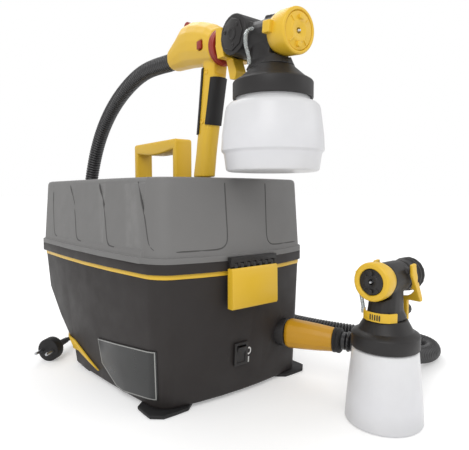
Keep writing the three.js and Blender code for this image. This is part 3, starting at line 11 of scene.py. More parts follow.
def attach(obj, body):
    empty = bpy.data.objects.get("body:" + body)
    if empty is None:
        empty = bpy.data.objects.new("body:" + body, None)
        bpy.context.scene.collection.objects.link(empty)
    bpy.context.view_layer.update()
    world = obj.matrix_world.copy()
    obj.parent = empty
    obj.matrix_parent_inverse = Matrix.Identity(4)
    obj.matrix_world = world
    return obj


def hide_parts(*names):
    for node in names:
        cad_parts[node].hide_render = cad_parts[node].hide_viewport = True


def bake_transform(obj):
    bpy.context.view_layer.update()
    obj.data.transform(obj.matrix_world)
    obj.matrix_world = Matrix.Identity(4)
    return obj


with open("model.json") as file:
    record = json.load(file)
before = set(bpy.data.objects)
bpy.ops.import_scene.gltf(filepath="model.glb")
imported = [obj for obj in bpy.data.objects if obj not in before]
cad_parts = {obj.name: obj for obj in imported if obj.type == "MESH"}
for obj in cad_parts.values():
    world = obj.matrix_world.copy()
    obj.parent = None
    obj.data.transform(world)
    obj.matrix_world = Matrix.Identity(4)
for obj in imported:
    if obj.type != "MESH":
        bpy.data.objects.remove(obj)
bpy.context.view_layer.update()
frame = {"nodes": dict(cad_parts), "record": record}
cad_nodes = frame["nodes"]

# ------------------------------------------------------------------ places shared with the solids
MM = 0.001
MODEL_SHIFT = Vector((0, 89.3066, 0)) * MM       # from the drawing's frame to the row frame
BASE_HALF_LENGTH = 200
FRONT_LEDGE = 4.5        # the tub stands back from the rim by this much
FRONT_DRAFT = 13         # and leans in by this much down to its bottom
FRONT_BULGE = 1.45e-3    # fall of the front wall towards its sides, per square of the distance
TUB_BOTTOM = 5.5
STRIPE_BOTTOM = 171.4
FRONT_LEAN = math.atan2(FRONT_DRAFT, STRIPE_BOTTOM - TUB_BOTTOM)
LATCH_TRAY_TOP = 182
SWITCH_SIDE, SWITCH_LEVEL = -7, 60
OUTLET_ANGLE = math.radians(23.5)
OUTLET_SIDE, OUTLET_LEVEL = 79, 72
CUFF_END = 89.6          # from the front wall, along the outlet
HEEL_LENGTH, KNEE_LENGTH, KNEE_HEIGHT = 77, 83, 32
HOSE_RADIUS = 14
HOSE_VALLEY = 10.8
LEAD_RADIUS = 3.5
FLOOR_GAP = 0.3
PLUG_PLACE = (-167, 117, 18.7)
PLUG_ANGLE = math.radians(40)
GUN_A = Vector((0, -241, 468.5))
GUN_A_TILT = math.radians(6.2)
GUN_B = Vector((91.5, -345.7, 175))
GUN_B_TURN = math.radians(-86.5)
GUN_TAIL = Vector((0, -15, 490.5))
ALONG_Y = -math.pi / 2   # lean that lays a piece turned about Z along +Y


def placed(x, y, z):
    """A point of the drawing's frame, in millimetres, as a place in the row frame."""
    return Vector((x, y, z)) * MM + MODEL_SHIFT


def front_wall(z):
    """Where the tub's latch-side wall stands, and how far it bulges, at a height."""
    rise = min(max((z - TUB_BOTTOM) / (STRIPE_BOTTOM - TUB_BOTTOM), 0), 1)
    return -(BASE_HALF_LENGTH - FRONT_LEDGE - FRONT_DRAFT * (1 - rise)), 0.6 + 0.4 * rise


def outlet_centre():
    """Where the air outlet's axis leaves the front wall, in the drawing's frame."""
    front, bulge = front_wall(OUTLET_LEVEL)
    return Vector((OUTLET_SIDE, front + FRONT_BULGE * OUTLET_SIDE ** 2 * bulge, OUTLET_LEVEL))


# ------------------------------------------------------------------ camera
CAMERA_PLACE = (-0.39041, -0.56786, 0.27810)
CAMERA_DOWN, CAMERA_TURN = 4.033, -38.43      # degrees
CAMERA_LENS, CAMERA_SENSOR = 34.9, 36


def set_camera():
    data = bpy.data.cameras.new("camera")
    data.lens = CAMERA_LENS
    data.sensor_width = CAMERA_SENSOR
    data.clip_start = 0.01
    camera = bpy.data.objects.new("camera", data)
    bpy.context.scene.collection.objects.link(camera)
    camera.location = CAMERA_PLACE
    camera.rotation_euler = (math.radians(90 - CAMERA_DOWN), 0, math.radians(CAMERA_TURN))
    bpy.context.scene.camera = camera


# ------------------------------------------------------------------ shader building
def link(tree, source, target):
    tree.links.new(source, target)


def add(tree, kind, **values):
    node = tree.nodes.new(kind)
    for name, value in values.items():
        if hasattr(node, name):
            setattr(node, name, value)
        else:
            node.inputs[name.replace("_", " ")].default_value = value
    return node


def socket(group, name, way, kind, value=None):
    made = group.interface.new_socket(name=name, in_out=way, socket_type=kind)
    if value is not None:
        made.default_value = value
    return made


def reckoned(tree, operation, *given, **values):
    """What a math node makes of sockets or numbers."""
    node = add(tree, "ShaderNodeMath", operation=operation, **values)
    for source, target in zip(given, node.inputs):
        if isinstance(source, (int, float)):
            target.default_value = source
        else:
            link(tree, source, target)
    return node.outputs[0]


def ranged(tree, source, start, end, low, high):
    """A value's range from start to end, spread from low to high."""
    node = add(tree, "ShaderNodeMapRange", From_Min=start, From_Max=end, To_Min=low, To_Max=high)
    link(tree, source, node.inputs["Value"])
    return node.outputs["Result"]


def scaled(tree, colour, amount):
    """A colour made lighter or darker."""
    node = add(tree, "ShaderNodeVectorMath", operation="SCALE")
    link(tree, colour, node.inputs[0])
    link(tree, amount, node.inputs["Scale"])
    return node.outputs["Vector"]


def texture(tree, kind="Noise", **values):
    """A texture in the piece's own coordinates."""
    place = add(tree, "ShaderNodeTexCoord")
    node = add(tree, "ShaderNodeTex" + kind, **values)
    link(tree, place.outputs["Object"], node.inputs["Vector"])
    return node


def bumped(tree, shader, height, strength, distance):
    """Gives a shader a relief."""
    bump = add(tree, "ShaderNodeBump", Strength=strength, Distance=distance)
    link(tree, height, bump.inputs["Height"])
    link(tree, bump.outputs["Normal"], shader.inputs["Normal"])


def mixed_colour(tree, share, first, second):
    """One colour passing into another; the second may be a plain value."""
    node = add(tree, "ShaderNodeMix", data_type="RGBA")
    link(tree, share, node.inputs["Factor"])
    link(tree, first, node.inputs[6])
    if isinstance(second, tuple):
        node.inputs[7].default_value = second
    else:
        link(tree, second, node.inputs[7])
    return node.outputs[2]


def make_moulded_finish():
    """Fine grain of a moulded plastic: colour drifts a little, the skin is finely pitted, and every
    edge is painted paler, partly as wear and partly as a painted highlight."""
    group = bpy.data.node_groups.new("moulded_finish", "ShaderNodeTree")
    socket(group, "Colour", "INPUT", "NodeSocketColor", (0.5, 0.5, 0.5, 1))
    socket(group, "Edge Highlight And Wear Colour", "INPUT", "NodeSocketColor", (0.6, 0.6, 0.6, 1))
    socket(group, "Roughness", "INPUT", "NodeSocketFloat", 0.5)
    socket(group, "Grain Size", "INPUT", "NodeSocketFloat", 1400)
    socket(group, "Grain Depth", "INPUT", "NodeSocketFloat", 0.15)
    socket(group, "Drift", "INPUT", "NodeSocketFloat", 0.06)
    socket(group, "Edge Highlight And Wear", "INPUT", "NodeSocketFloat", 0.3)
    socket(group, "Colour", "OUTPUT", "NodeSocketColor")
    socket(group, "Roughness", "OUTPUT", "NodeSocketFloat")
    socket(group, "Normal", "OUTPUT", "NodeSocketVector")
    given = group.nodes.new("NodeGroupInput")
    out = group.nodes.new("NodeGroupOutput")
    # broad drift of the colour
    drift = ranged(group, texture(group, Scale=9.0, Detail=3.0).outputs["Fac"], 0.3, 0.7, -0.5, 0.5)
    drift = reckoned(group, "MULTIPLY", drift, given.outputs["Drift"])
    shaded = scaled(group, given.outputs["Colour"], reckoned(group, "ADD", drift, 1.0))
    # paler edges, partly wear and partly painted highlight: where a rounded normal leaves the flat one
    rounded = add(group, "ShaderNodeBevel", samples=4, Radius=0.0016)
    flat = add(group, "ShaderNodeNewGeometry")
    facing = add(group, "ShaderNodeVectorMath", operation="DOT_PRODUCT")
    link(group, rounded.outputs["Normal"], facing.inputs[0])
    link(group, flat.outputs["Normal"], facing.inputs[1])
    edge = ranged(group, facing.outputs["Value"], 0.995, 0.86, 0.0, 1.0)
    patchy = ranged(group, texture(group, Scale=55.0, Detail=4.0).outputs["Fac"], 0.38, 0.62, 0.35, 1.0)
    rubbing = reckoned(group, "MULTIPLY", edge, patchy)
    rubbing = reckoned(group, "MULTIPLY", rubbing, given.outputs["Edge Highlight And Wear"], use_clamp=True)
    # every edge is mixed towards the paler colour: a painted highlight along with wear
    colour = mixed_colour(group, rubbing, shaded, given.outputs["Edge Highlight And Wear Colour"])
    link(group, colour, out.inputs["Colour"])
    # roughness: hazy patches
    haze = ranged(group, texture(group, Scale=38.0, Detail=5.0).outputs["Fac"], 0.3, 0.7, -0.05, 0.05)
    link(group, reckoned(group, "ADD", given.outputs["Roughness"], haze), out.inputs["Roughness"])
    # fine pitted skin
    pits = texture(group, Detail=2.0)
    link(group, given.outputs["Grain Size"], pits.inputs["Scale"])
    skin = add(group, "ShaderNodeBump", Distance=0.0003)
    link(group, given.outputs["Grain Depth"], skin.inputs["Strength"])
    link(group, pits.outputs["Fac"], skin.inputs["Height"])
    link(group, skin.outputs["Normal"], out.inputs["Normal"])
    return group


def principled(name):
    material = bpy.data.materials.new(name)
    material.use_nodes = True
    shader = material.node_tree.nodes["Principled BSDF"]
    return material, material.node_tree, shader


def srgb(red, green, blue):
    """A colour given as picture values of 0 to 255."""
    def linear(v):
        v /= 255
        return v / 12.92 if v <= 0.04045 else ((v + 0.055) / 1.055) ** 2.4
    return (linear(red), linear(green), linear(blue), 1)


def moulded(name, colour, rubbed, roughness, grain, depth, drift, rubbing, specular=0.5, metallic=0.0):
    """A plastic or painted finish from the shared group: its colour and the paler colour of its edges
    (wear and painted highlight) as picture values, then roughness, grain size and depth, colour drift
    and amount of that edge wear and highlight."""
    material, tree, shader = principled(name)
    finish = tree.nodes.new("ShaderNodeGroup")
    finish.node_tree = moulded_finish
    for key, value in (("Colour", srgb(*colour)), ("Edge Highlight And Wear Colour", srgb(*rubbed)),
                       ("Roughness", roughness), ("Grain Size", grain), ("Grain Depth", depth),
                       ("Drift", drift), ("Edge Highlight And Wear", rubbing)):
        finish.inputs[key].default_value = value
    link(tree, finish.outputs["Colour"], shader.inputs["Base Color"])
    link(tree, finish.outputs["Roughness"], shader.inputs["Roughness"])
    link(tree, finish.outputs["Normal"], shader.inputs["Normal"])
    shader.inputs["Specular IOR Level"].default_value = specular
    shader.inputs["Metallic"].default_value = metallic
    return material


def clear_tube(name):
    material, tree, shader = principled(name)
    shader.inputs["Base Color"].default_value = srgb(232, 236, 236)
    shader.inputs["Roughness"].default_value = 0.08
    shader.inputs["IOR"].default_value = 1.4
    shader.inputs["Transmission Weight"].default_value = 0.75
    bumped(tree, shader, texture(tree, Scale=220.0, Detail=2.0).outputs["Fac"], 0.1, 0.0004)
    return material


def cup_plastic(name, top, bottom, painted_shading_tones):
    """Milky blown plastic: its grey graded from foot over low wall to neck as painted light and shade,
    with a faint mould haze.
    """
    material, tree, shader = principled(name)
    place = add(tree, "ShaderNodeTexCoord")
    split = add(tree, "ShaderNodeSeparateXYZ")
    link(tree, place.outputs["Object"], split.inputs["Vector"])
    height = ranged(tree, split.outputs["Z"], bottom, top, 0.0, 1.0)
    # painted light and shade: the grey changes with height, standing in for translucency and how light
    # falls
    painted_shading = add(tree, "ShaderNodeValToRGB")
    ramp = painted_shading.color_ramp
    foot, wall, neck = painted_shading_tones
    ramp.elements[0].color = srgb(foot, foot, foot + 2)
    ramp.elements[1].color = srgb(neck, neck, neck + 1)
    low = ramp.elements.new(0.28)
    low.color = srgb(wall, wall, wall + 3)
    link(tree, height, painted_shading.inputs["Fac"])
    haze = ranged(tree, texture(tree, Scale=26.0, Detail=4.0).outputs["Fac"], 0.3, 0.7, 0.965, 1.015)
    link(tree, scaled(tree, painted_shading.outputs["Color"], haze), shader.inputs["Base Color"])
    shader.inputs["Roughness"].default_value = 0.34
    shader.inputs["Transmission Weight"].default_value = 0.12
    shader.inputs["IOR"].default_value = 1.45
    bumped(tree, shader, texture(tree, Scale=90.0, Detail=3.0).outputs["Fac"], 0.12, 0.0006)
    return material


def brushed_steel(name):
    material, tree, shader = principled(name)
    place = add(tree, "ShaderNodeTexCoord")
    stretch = add(tree, "ShaderNodeMapping", Scale=(900, 900, 60))
    link(tree, place.outputs["Object"], stretch.inputs["Vector"])
    lines = add(tree, "ShaderNodeTexNoise", Scale=1.0, Detail=3.0)
    link(tree, stretch.outputs["Vector"], lines.inputs["Vector"])
    rough = add(tree, "ShaderNodeMapRange", To_Min=0.2, To_Max=0.42)
    link(tree, lines.outputs["Fac"], rough.inputs["Value"])
    link(tree, rough.outputs["Result"], shader.inputs["Roughness"])
    tone = add(tree, "ShaderNodeValToRGB")
    tone.color_ramp.elements[0].color = srgb(170, 172, 176)
    tone.color_ramp.elements[1].color = srgb(200, 202, 205)
    link(tree, lines.outputs["Fac"], tone.inputs["Fac"])
    link(tree, tone.outputs["Color"], shader.inputs["Base Color"])
    shader.inputs["Metallic"].default_value = 1.0
    return material


def open_foam(name):
    material, tree, shader = principled(name)
    cells = texture(tree, "Voronoi", Scale=700.0)
    tone = add(tree, "ShaderNodeValToRGB")
    tone.color_ramp.elements[0].color = srgb(38, 40, 44)
    tone.color_ramp.elements[1].color = srgb(76, 80, 86)
    link(tree, cells.outputs["Distance"], tone.inputs["Fac"])
    link(tree, tone.outputs["Color"], shader.inputs["Base Color"])
    bumped(tree, shader, cells.outputs["Distance"], 0.6, 0.0006)
    shader.inputs["Roughness"].default_value = 0.95
    return material


BORDER_INSET, BORDER_WIDTH = 1.5, 1.3


def bordered_plate(name, outline):
    """A bare dark plate with one thin pale line inside its edge, told from the plate's outline."""
    material = moulded(name, (30, 31, 31), (58, 60, 60), 0.3, 600, 0.05, 0.1, 0.2, 0.5)
    tree = material.node_tree
    shader = tree.nodes["Principled BSDF"]
    place = add(tree, "ShaderNodeTexCoord")
    middle = sum(outline, Vector((0, 0, 0))) / len(outline)
    nearest = None
    for start, end in zip(outline, outline[1:] + outline[:1]):
        along = (end - start).normalized()
        inward = Vector((0, -along.z, along.y))
        if inward.dot(middle - start) < 0:
            inward.negate()
        reach = add(tree, "ShaderNodeVectorMath", operation="DOT_PRODUCT")
        link(tree, place.outputs["Object"], reach.inputs[0])
        reach.inputs[1].default_value = inward
        depth = reckoned(tree, "SUBTRACT", reach.outputs["Value"], inward.dot(start))
        nearest = depth if nearest is None else reckoned(tree, "MINIMUM", nearest, depth)
    band = reckoned(tree, "COMPARE", nearest, BORDER_INSET * MM, BORDER_WIDTH / 2 * MM)
    finish = shader.inputs["Base Color"].links[0].from_socket
    bordered = mixed_colour(tree, band, finish, srgb(150, 150, 147))
    link(tree, bordered, shader.inputs["Base Color"])
    return material


moulded_finish = make_moulded_finish()
yellow = moulded("yellow", (227, 184, 48), (238, 206, 100), 0.4, 1500, 0.1, 0.07, 0.35)
coupling_yellow = moulded("coupling_yellow", (205, 150, 26), (222, 178, 70), 0.38, 1500, 0.1, 0.1, 0.3)
lid_grey = moulded("lid_grey", (114, 113, 112), (140, 139, 138), 0.6, 1300, 0.3, 0.05, 0.35)
# darker grey of the lid's step lines: painted shade of the steps
step_shadow_grey = moulded("step_shadow_grey", (72, 71, 70), (92, 91, 90), 0.7, 1300, 0.3, 0.05, 0.1)
tub_black = moulded("tub_black", (42, 38, 37), (76, 72, 70), 0.58, 1300, 0.3, 0.08, 0.3, 0.35)
trim_black = moulded("trim_black", (36, 34, 34), (78, 76, 75), 0.48, 1500, 0.2, 0.08, 0.3, 0.4)
hose_rubber = moulded("hose_rubber", (30, 29, 31), (62, 62, 64), 0.34, 900, 0.15, 0.1, 0.25, 0.6)
rubber = moulded("rubber", (28, 27, 28), (52, 51, 51), 0.62, 900, 0.3, 0.1, 0.25, 0.4)
red = moulded("red", (150, 42, 30), (176, 74, 60), 0.4, 1500, 0.12, 0.08, 0.3)
LABEL_OUTLINE = [placed(0, *point) for point in (
    (-163, 81), (-24, 67), (-33, 32), (-72, 9), (-90, 7), (-162, 17))]
bare_plate = bordered_plate("bare_plate", LABEL_OUTLINE)
mark_white = moulded("mark_white", (222, 222, 220), (230, 230, 228), 0.5, 900, 0.05, 0.05, 0.1)
motor_metal = moulded("motor_metal", (141, 144, 147), (170, 172, 175), 0.42, 700, 0.2, 0.1, 0.4,
                      metallic=0.8)
clear = clear_tube("clear")
steel = brushed_steel("steel")
foam = open_foam("foam")
# both cups are the same plastic; each gets its own painted light and shade by height
cup_white_a = cup_plastic("cup_white_a", 0.40, 0.304, (236, 236, 226))
cup_white_b = cup_plastic("cup_white_b", 0.10, 0.0, (232, 238, 240))

SLOT_FINISHES = {
    "yellow": yellow, "lid_grey": lid_grey, "tub_black": tub_black, "trim_black": trim_black,
    "rubber": rubber, "red": red, "cup_white": cup_white_a, "clear": clear, "steel": steel,
    "label": bare_plate, "foam": foam, "motor": motor_metal,
}


NODE_SLOT = {member: row.get("slot")
             for row in frame["record"].get("materials", []) for member in row.get("nodes", [])}


def finish_cad_nodes():
    """Every carried-over solid gets the detailed material of its own slot."""
    for name, node in cad_nodes.items():
        spare = SLOT_FINISHES[NODE_SLOT.get(name, "trim_black")]
        for material_slot in node.material_slots:
            known = material_slot.material.name.split(".")[0] if material_slot.material else ""
            material_slot.material = SLOT_FINISHES.get(known, spare)


# ------------------------------------------------------------------ modelling helpers
def drop_selection():
    active = bpy.context.object
    if active and active.mode != "OBJECT":
        bpy.ops.object.mode_set(mode="OBJECT")
    bpy.ops.object.select_all(action="DESELECT")


def pick(piece):
    drop_selection()
    piece.select_set(True)
    bpy.context.view_layer.objects.active = piece


def apply_place(piece):
    pick(piece)
    bpy.ops.object.transform_apply(location=True, rotation=True, scale=True)


SMOOTH_BELOW = math.radians(38)
ROUND_BELOW = math.radians(50)   # for cords and other thin round pieces


def soften(piece, width, segments=2, angle=32):
    """Rounds the edges sharper than the angle by a width in millimetres, and shades the rest smooth."""
    pick(piece)
    if width:
        bevel = piece.modifiers.new("edges", "BEVEL")
        bevel.width = width * MM
        bevel.segments = segments
        bevel.limit_method = "ANGLE"
        bevel.angle_limit = math.radians(angle)
        bevel.harden_normals = False
        bpy.ops.object.modifier_apply(modifier="edges")
    bpy.ops.object.shade_smooth_by_angle(angle=SMOOTH_BELOW)
    return piece


def dress(piece, name, material, body, slot, *stands_for):
    """Names a piece, paints it, puts it on its body and hides the solids it stands for."""
    piece.name = name
    piece.data.name = name
    piece.data.materials.clear()
    piece.data.materials.append(material)
    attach(piece, body)
    if stands_for:
        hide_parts(*stands_for)
    return piece


def turned(profile, sides=64, hollow=False):
    """A turned piece about Z from [radius, height] pairs in millimetres: a circle pushed up and
    widened or narrowed, one pair after another. Solid ones start and end on a flat cap."""
    drop_selection()
    radius, height = profile[0]
    bpy.ops.mesh.primitive_circle_add(vertices=sides, radius=radius * MM, location=(0, 0, height * MM),
                                      fill_type="NOTHING" if hollow else "NGON")
    piece = bpy.context.object
    bpy.ops.object.transform_apply(location=True)
    bpy.ops.object.mode_set(mode="EDIT")
    bpy.ops.mesh.select_all(action="SELECT")
    for next_radius, next_height in profile[1:]:
        bpy.ops.mesh.extrude_region_move(
            TRANSFORM_OT_translate={"value": (0, 0, (next_height - height) * MM)})
        if next_radius != radius:
            share = next_radius / radius
            bpy.ops.transform.resize(value=(share, share, 1), center_override=(0, 0, next_height * MM))
        radius, height = next_radius, next_height
    bpy.ops.mesh.select_all(action="SELECT")
    bpy.ops.mesh.remove_doubles(threshold=1e-6)
    bpy.ops.mesh.normals_make_consistent(inside=False)
    bpy.ops.object.mode_set(mode="OBJECT")
    return piece


def stand(piece, at, heading=0.0, lean=0.0):
    """Leans a piece about X, turns it about Z and puts it in place."""
    piece.matrix_world = (Matrix.Translation(at) @ Matrix.Rotation(heading, 4, "Z")
                          @ Matrix.Rotation(lean, 4, "X"))
    apply_place(piece)
    return piece


def from_solid(name, reach=1.0):
    """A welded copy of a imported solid, its flat faces whole again, ready for shaping."""
    drop_selection()
    piece = bpy.data.objects.new(name + "_copy", cad_nodes[name].data.copy())
    bpy.context.scene.collection.objects.link(piece)
    pick(piece)
    bpy.ops.object.mode_set(mode="EDIT")
    bpy.ops.mesh.select_all(action="SELECT")
    bpy.ops.mesh.customdata_custom_splitnormals_clear()
    bpy.ops.mesh.remove_doubles(threshold=2e-6)
    bpy.ops.mesh.dissolve_limited(angle_limit=math.radians(reach))
    bpy.ops.object.mode_set(mode="OBJECT")
    return piece


def melted(name, voxel, rounds=8):
    """A copy of a solid made of several forms, melted into one moulded skin with soft inner corners."""
    piece = from_solid(name, 0.01)
    pick(piece)
    skin = piece.modifiers.new("skin", "REMESH")
    skin.mode = "VOXEL"
    skin.voxel_size = voxel * MM
    skin.adaptivity = 0
    bpy.ops.object.modifier_apply(modifier="skin")
    ease = piece.modifiers.new("ease", "SMOOTH")
    ease.factor = 0.5
    ease.iterations = rounds
    bpy.ops.object.modifier_apply(modifier="ease")
    bpy.ops.object.shade_smooth()
    return piece


def box(middle, size, turn=0.0):
    """A box by its middle and size in millimetres, turned about Z."""
    drop_selection()
    bpy.ops.mesh.primitive_cube_add(size=1, location=Vector(middle) * MM, rotation=(0, 0, turn),
                                    scale=Vector(size) * MM)
    bpy.ops.object.transform_apply(location=True, rotation=True, scale=True)
    return bpy.context.object


def cut_away(piece, at, facing):
    """Removes what lies behind a plane, and closes the cut."""
    pick(piece)
    bpy.ops.object.mode_set(mode="EDIT")
    bpy.ops.mesh.select_all(action="SELECT")
    bpy.ops.mesh.bisect(plane_co=at, plane_no=facing, use_fill=True, clear_inner=True)
    bpy.ops.object.mode_set(mode="OBJECT")


def joined(pieces):
    """Several pieces as one, the first."""
    drop_selection()
    for piece in pieces:
        piece.select_set(True)
    bpy.context.view_layer.objects.active = pieces[0]
    bpy.ops.object.join()
    return pieces[0]


# ------------------------------------------------------------------ cords
HOSE_RIBS = 300
RIB_STEPS = 6
HOSE_SPANS = 96
COIL_X, COIL_Y, COIL_RADIUS = 24, 146, 37.5
COIL_START = math.radians(190)
GLAND_SIDE, GLAND_LEVEL, GLAND_LENGTH = -25, 18, 30
PLUG_TAIL = 45


def centripetal(points, count):
    """Evenly spaced points on a centripetal Catmull-Rom line, as the solids' routes use."""
    def bend(a, b, c, d, t):
        steps = [max((q - p).length_squared ** 0.25, 1e-4) for p, q in ((a, b), (b, c), (c, d))]
        left = ((b - a) / steps[0] - (c - a) / (steps[0] + steps[1]) + (c - b) / steps[1]) * steps[1]
        right = ((c - b) / steps[1] - (d - b) / (steps[1] + steps[2]) + (d - c) / steps[2]) * steps[1]
        s = t * t
        return (b + left * t + (-3 * b + 3 * c - 2 * left - right) * s
                + (2 * b - 2 * c + left + right) * s * t)
    before = points[0] * 2 - points[1]
    after = points[-1] * 2 - points[-2]
    padded = [before, *points, after]
    dense = [bend(*padded[i:i + 4], k / 24) for i in range(len(points) - 1) for k in range(24)]
    dense.append(points[-1].copy())
    reach = [0.0]
    for p, q in zip(dense, dense[1:]):
        reach.append(reach[-1] + (q - p).length)
    even, j = [], 0
    for i in range(count + 1):
        want = reach[-1] * i / count
        while j < len(reach) - 2 and reach[j + 1] < want:
            j += 1
        share = (want - reach[j]) / max(reach[j + 1] - reach[j], 1e-9)
        even.append(dense[j].lerp(dense[j + 1], share))
    return even


def hose_route():
    """From the cuff round the right side on the floor, up behind the lid, into the gun's tail."""
    axis = Vector((math.sin(OUTLET_ANGLE), -math.cos(OUTLET_ANGLE), 0))

    def lead(along):
        return outlet_centre() + axis * (CUFF_END + FLOOR_GAP + along)
    low = HOSE_RADIUS + 0.4
    rough = [lead(14), lead(28)] + [Vector(p) for p in (
        (141, -303, 69), (168, -305, 59), (200, -297, 47), (232, -290, 36), (264, -286, 25),
        (298, -288, low + 1), (334, -285, low), (362, -265, low), (366, -236, low),
        (354, -206, low), (330, -165, low), (302, -105, low), (279, -20, low), (272, 50, low),
        (266, 124, low), (256, 196, low), (230, 266, low), (190, 326, low), (138, 368, low),
        (82, 392, low + 8), (38, 400, 44), (10, 398, 92), (0, 393, 150), (0, 386, 210),
        (0, 372, 270), (0, 350, 325), (0, 328, 365), (0, 309, 391), (0, 277, 421), (0, 238, 448),
        (0, 199, 467), (0, 154, 482.5), (0, 120, 491), (0, 86, 495.5), (0, 60, 495),
        (0, 34, 492.3), (0, GUN_TAIL.y + 28, GUN_TAIL.z), (0, GUN_TAIL.y + 0.3, GUN_TAIL.z))]
    line = centripetal(rough, HOSE_SPANS)
    for _ in range(5):
        line = [p if i < 2 or i > HOSE_SPANS - 2 else (p * 2 + line[i - 1] + line[i + 1]) / 4
                for i, p in enumerate(line)]
    return [placed(*p) for p in [lead(0), lead(7), *line]]


def coil_route():
    """Two flat layers of loops: inwards on the floor, half a turn up, and outwards on top."""
    low, bend, turns, pitch, per_turn = LEAD_RADIUS + FLOOR_GAP, 3.85, 2.5, 7.7, 24
    flat = int(turns * per_turn)
    narrow = COIL_RADIUS - turns * pitch / 2
    route = []
    for i in range(2 * flat + per_turn + 1):
        turn = min(max((i - flat) / per_turn, 0), 1) * math.pi
        steps = max(flat - i, 0) if turn < math.pi else i - flat - per_turn
        radius = narrow + steps * pitch / per_turn - bend * math.sin(turn)
        angle = COIL_START - i / per_turn * 2 * math.pi
        route.append(Vector((COIL_X + radius * math.cos(angle), COIL_Y + radius * math.sin(angle),
                             low + bend * (1 - math.cos(turn)))))
    return route


def mains_route():
    """From the gland in the heel through the coil to the plug's strain relief."""
    coil = coil_route()
    back, up = KNEE_LENGTH - HEEL_LENGTH, KNEE_HEIGHT - TUB_BOTTOM
    lean = math.atan2(back, up)
    out_of_heel = Vector((0, math.cos(lean), -math.sin(lean)))
    heel = HEEL_LENGTH + back * (GLAND_LEVEL - TUB_BOTTOM) / up
    start = Vector((GLAND_SIDE, heel, GLAND_LEVEL)) + out_of_heel * (GLAND_LENGTH + FLOOR_GAP)
    into = (coil[1] - coil[0]).normalized()
    lead_in = centripetal([start, start + out_of_heel * 6, coil[0] - into * 9.3, coil[0]], 14)
    out = (coil[-1] - coil[-2]).normalized()
    way = Vector((math.cos(PLUG_ANGLE), math.sin(PLUG_ANGLE), 0))
    relief = Vector(PLUG_PLACE) + way * PLUG_TAIL
    lead_out = centripetal([coil[-1], coil[-1] + out * 9.3, Vector((-36, 178, 8)),
                            Vector((-56, 194, 5)), Vector((-84, 192, 5)), Vector((-107, 175, 9)),
                            relief + way * 7, relief + way * FLOOR_GAP], 16)
    whole = lead_in[:-1] + coil + lead_out[1:]
    return [placed(*p) for p in whole]


def tube_along(name, line, steps, radius_at, sides):
    """A round tube on a route, its radius given ring by ring, closed at both ends."""
    middle = centripetal(line, steps)
    verts, faces = [], []
    normal = None
    for i, at in enumerate(middle):
        ahead = (middle[min(i + 1, steps)] - middle[max(i - 1, 0)]).normalized()
        if normal is None:
            normal = ahead.orthogonal().normalized()
        normal = (normal - ahead * normal.dot(ahead)).normalized()
        side = ahead.cross(normal)
        r = radius_at(i)
        verts += [at + (normal * math.cos(a) + side * math.sin(a)) * r
                  for a in (2 * math.pi * k / sides for k in range(sides))]
    for i in range(steps):
        for k in range(sides):
            a, b = i * sides + k, i * sides + (k + 1) % sides
            faces.append((a, b, b + sides, a + sides))
    faces.append(tuple(range(sides))[::-1])
    faces.append(tuple(range(steps * sides, (steps + 1) * sides)))
    mesh = bpy.data.meshes.new(name)
    mesh.from_pydata(verts, [], faces)
    mesh.update()
    piece = bpy.data.objects.new(name, mesh)
    bpy.context.scene.collection.objects.link(piece)
    return piece, middle


def make_hose():
    """The ribbed air hose, from the outlet's cuff to the gun's tail."""
    steps = HOSE_RIBS * RIB_STEPS
    flank, crown = (HOSE_VALLEY + HOSE_RADIUS) / 2 + 0.5, HOSE_RADIUS - 0.15
    shape = (HOSE_VALLEY, flank, crown, HOSE_RADIUS, crown, flank)
    plain_end = HOSE_VALLEY + 1.4

    def radius(i):
        at_end = i < RIB_STEPS or i > steps - RIB_STEPS
        return (plain_end if at_end else shape[i % RIB_STEPS]) * MM
    hose, middle = tube_along("air_hose_ribbed", hose_route(), steps, radius, 20)
    pick(hose)
    bpy.ops.object.shade_smooth_by_angle(angle=ROUND_BELOW)
    hose.data.materials.append(hose_rubber)
    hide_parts("air_hose")
    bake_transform(hose)


def make_mains_lead():
    """The mains lead with its coil; the plug goes with it."""
    lead, middle = tube_along("mains_lead", mains_route(), 420, lambda i: LEAD_RADIUS * MM, 14)
    pick(lead)
    bpy.ops.object.shade_smooth_by_angle(angle=ROUND_BELOW)
    lead.data.materials.append(rubber)
    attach(lead, "base")
    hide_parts("mains_coil", "mains_lead_in", "mains_lead_out")


# ------------------------------------------------------------------ the base
def make_base():
    for name, material, body, slot, width in (
            ("tub", tub_black, "base", "tub_black", 0.9),
            ("stripe", yellow, "base", "yellow", 0.4),
            ("filter_cover", yellow, "base", "yellow", 0.6),
            ("switch_body", trim_black, "base", "trim_black", 0.5),
            ("switch_rocker", trim_black, "switch_rocker", "trim_black", 0.5)):
        dress(soften(from_solid(name), width), name + "_skin", material, body, slot, name)
    for name in ("foot_front_left", "foot_front_right", "foot_rear_left", "foot_rear_right"):
        dress(soften(from_solid(name), 0.8), name + "_pad", rubber, "base", "rubber", name)
    plate = soften(from_solid("label_plate"), 0.3)
    dress(plate, "bare_label", bare_plate, "base", "label", "label_plate")


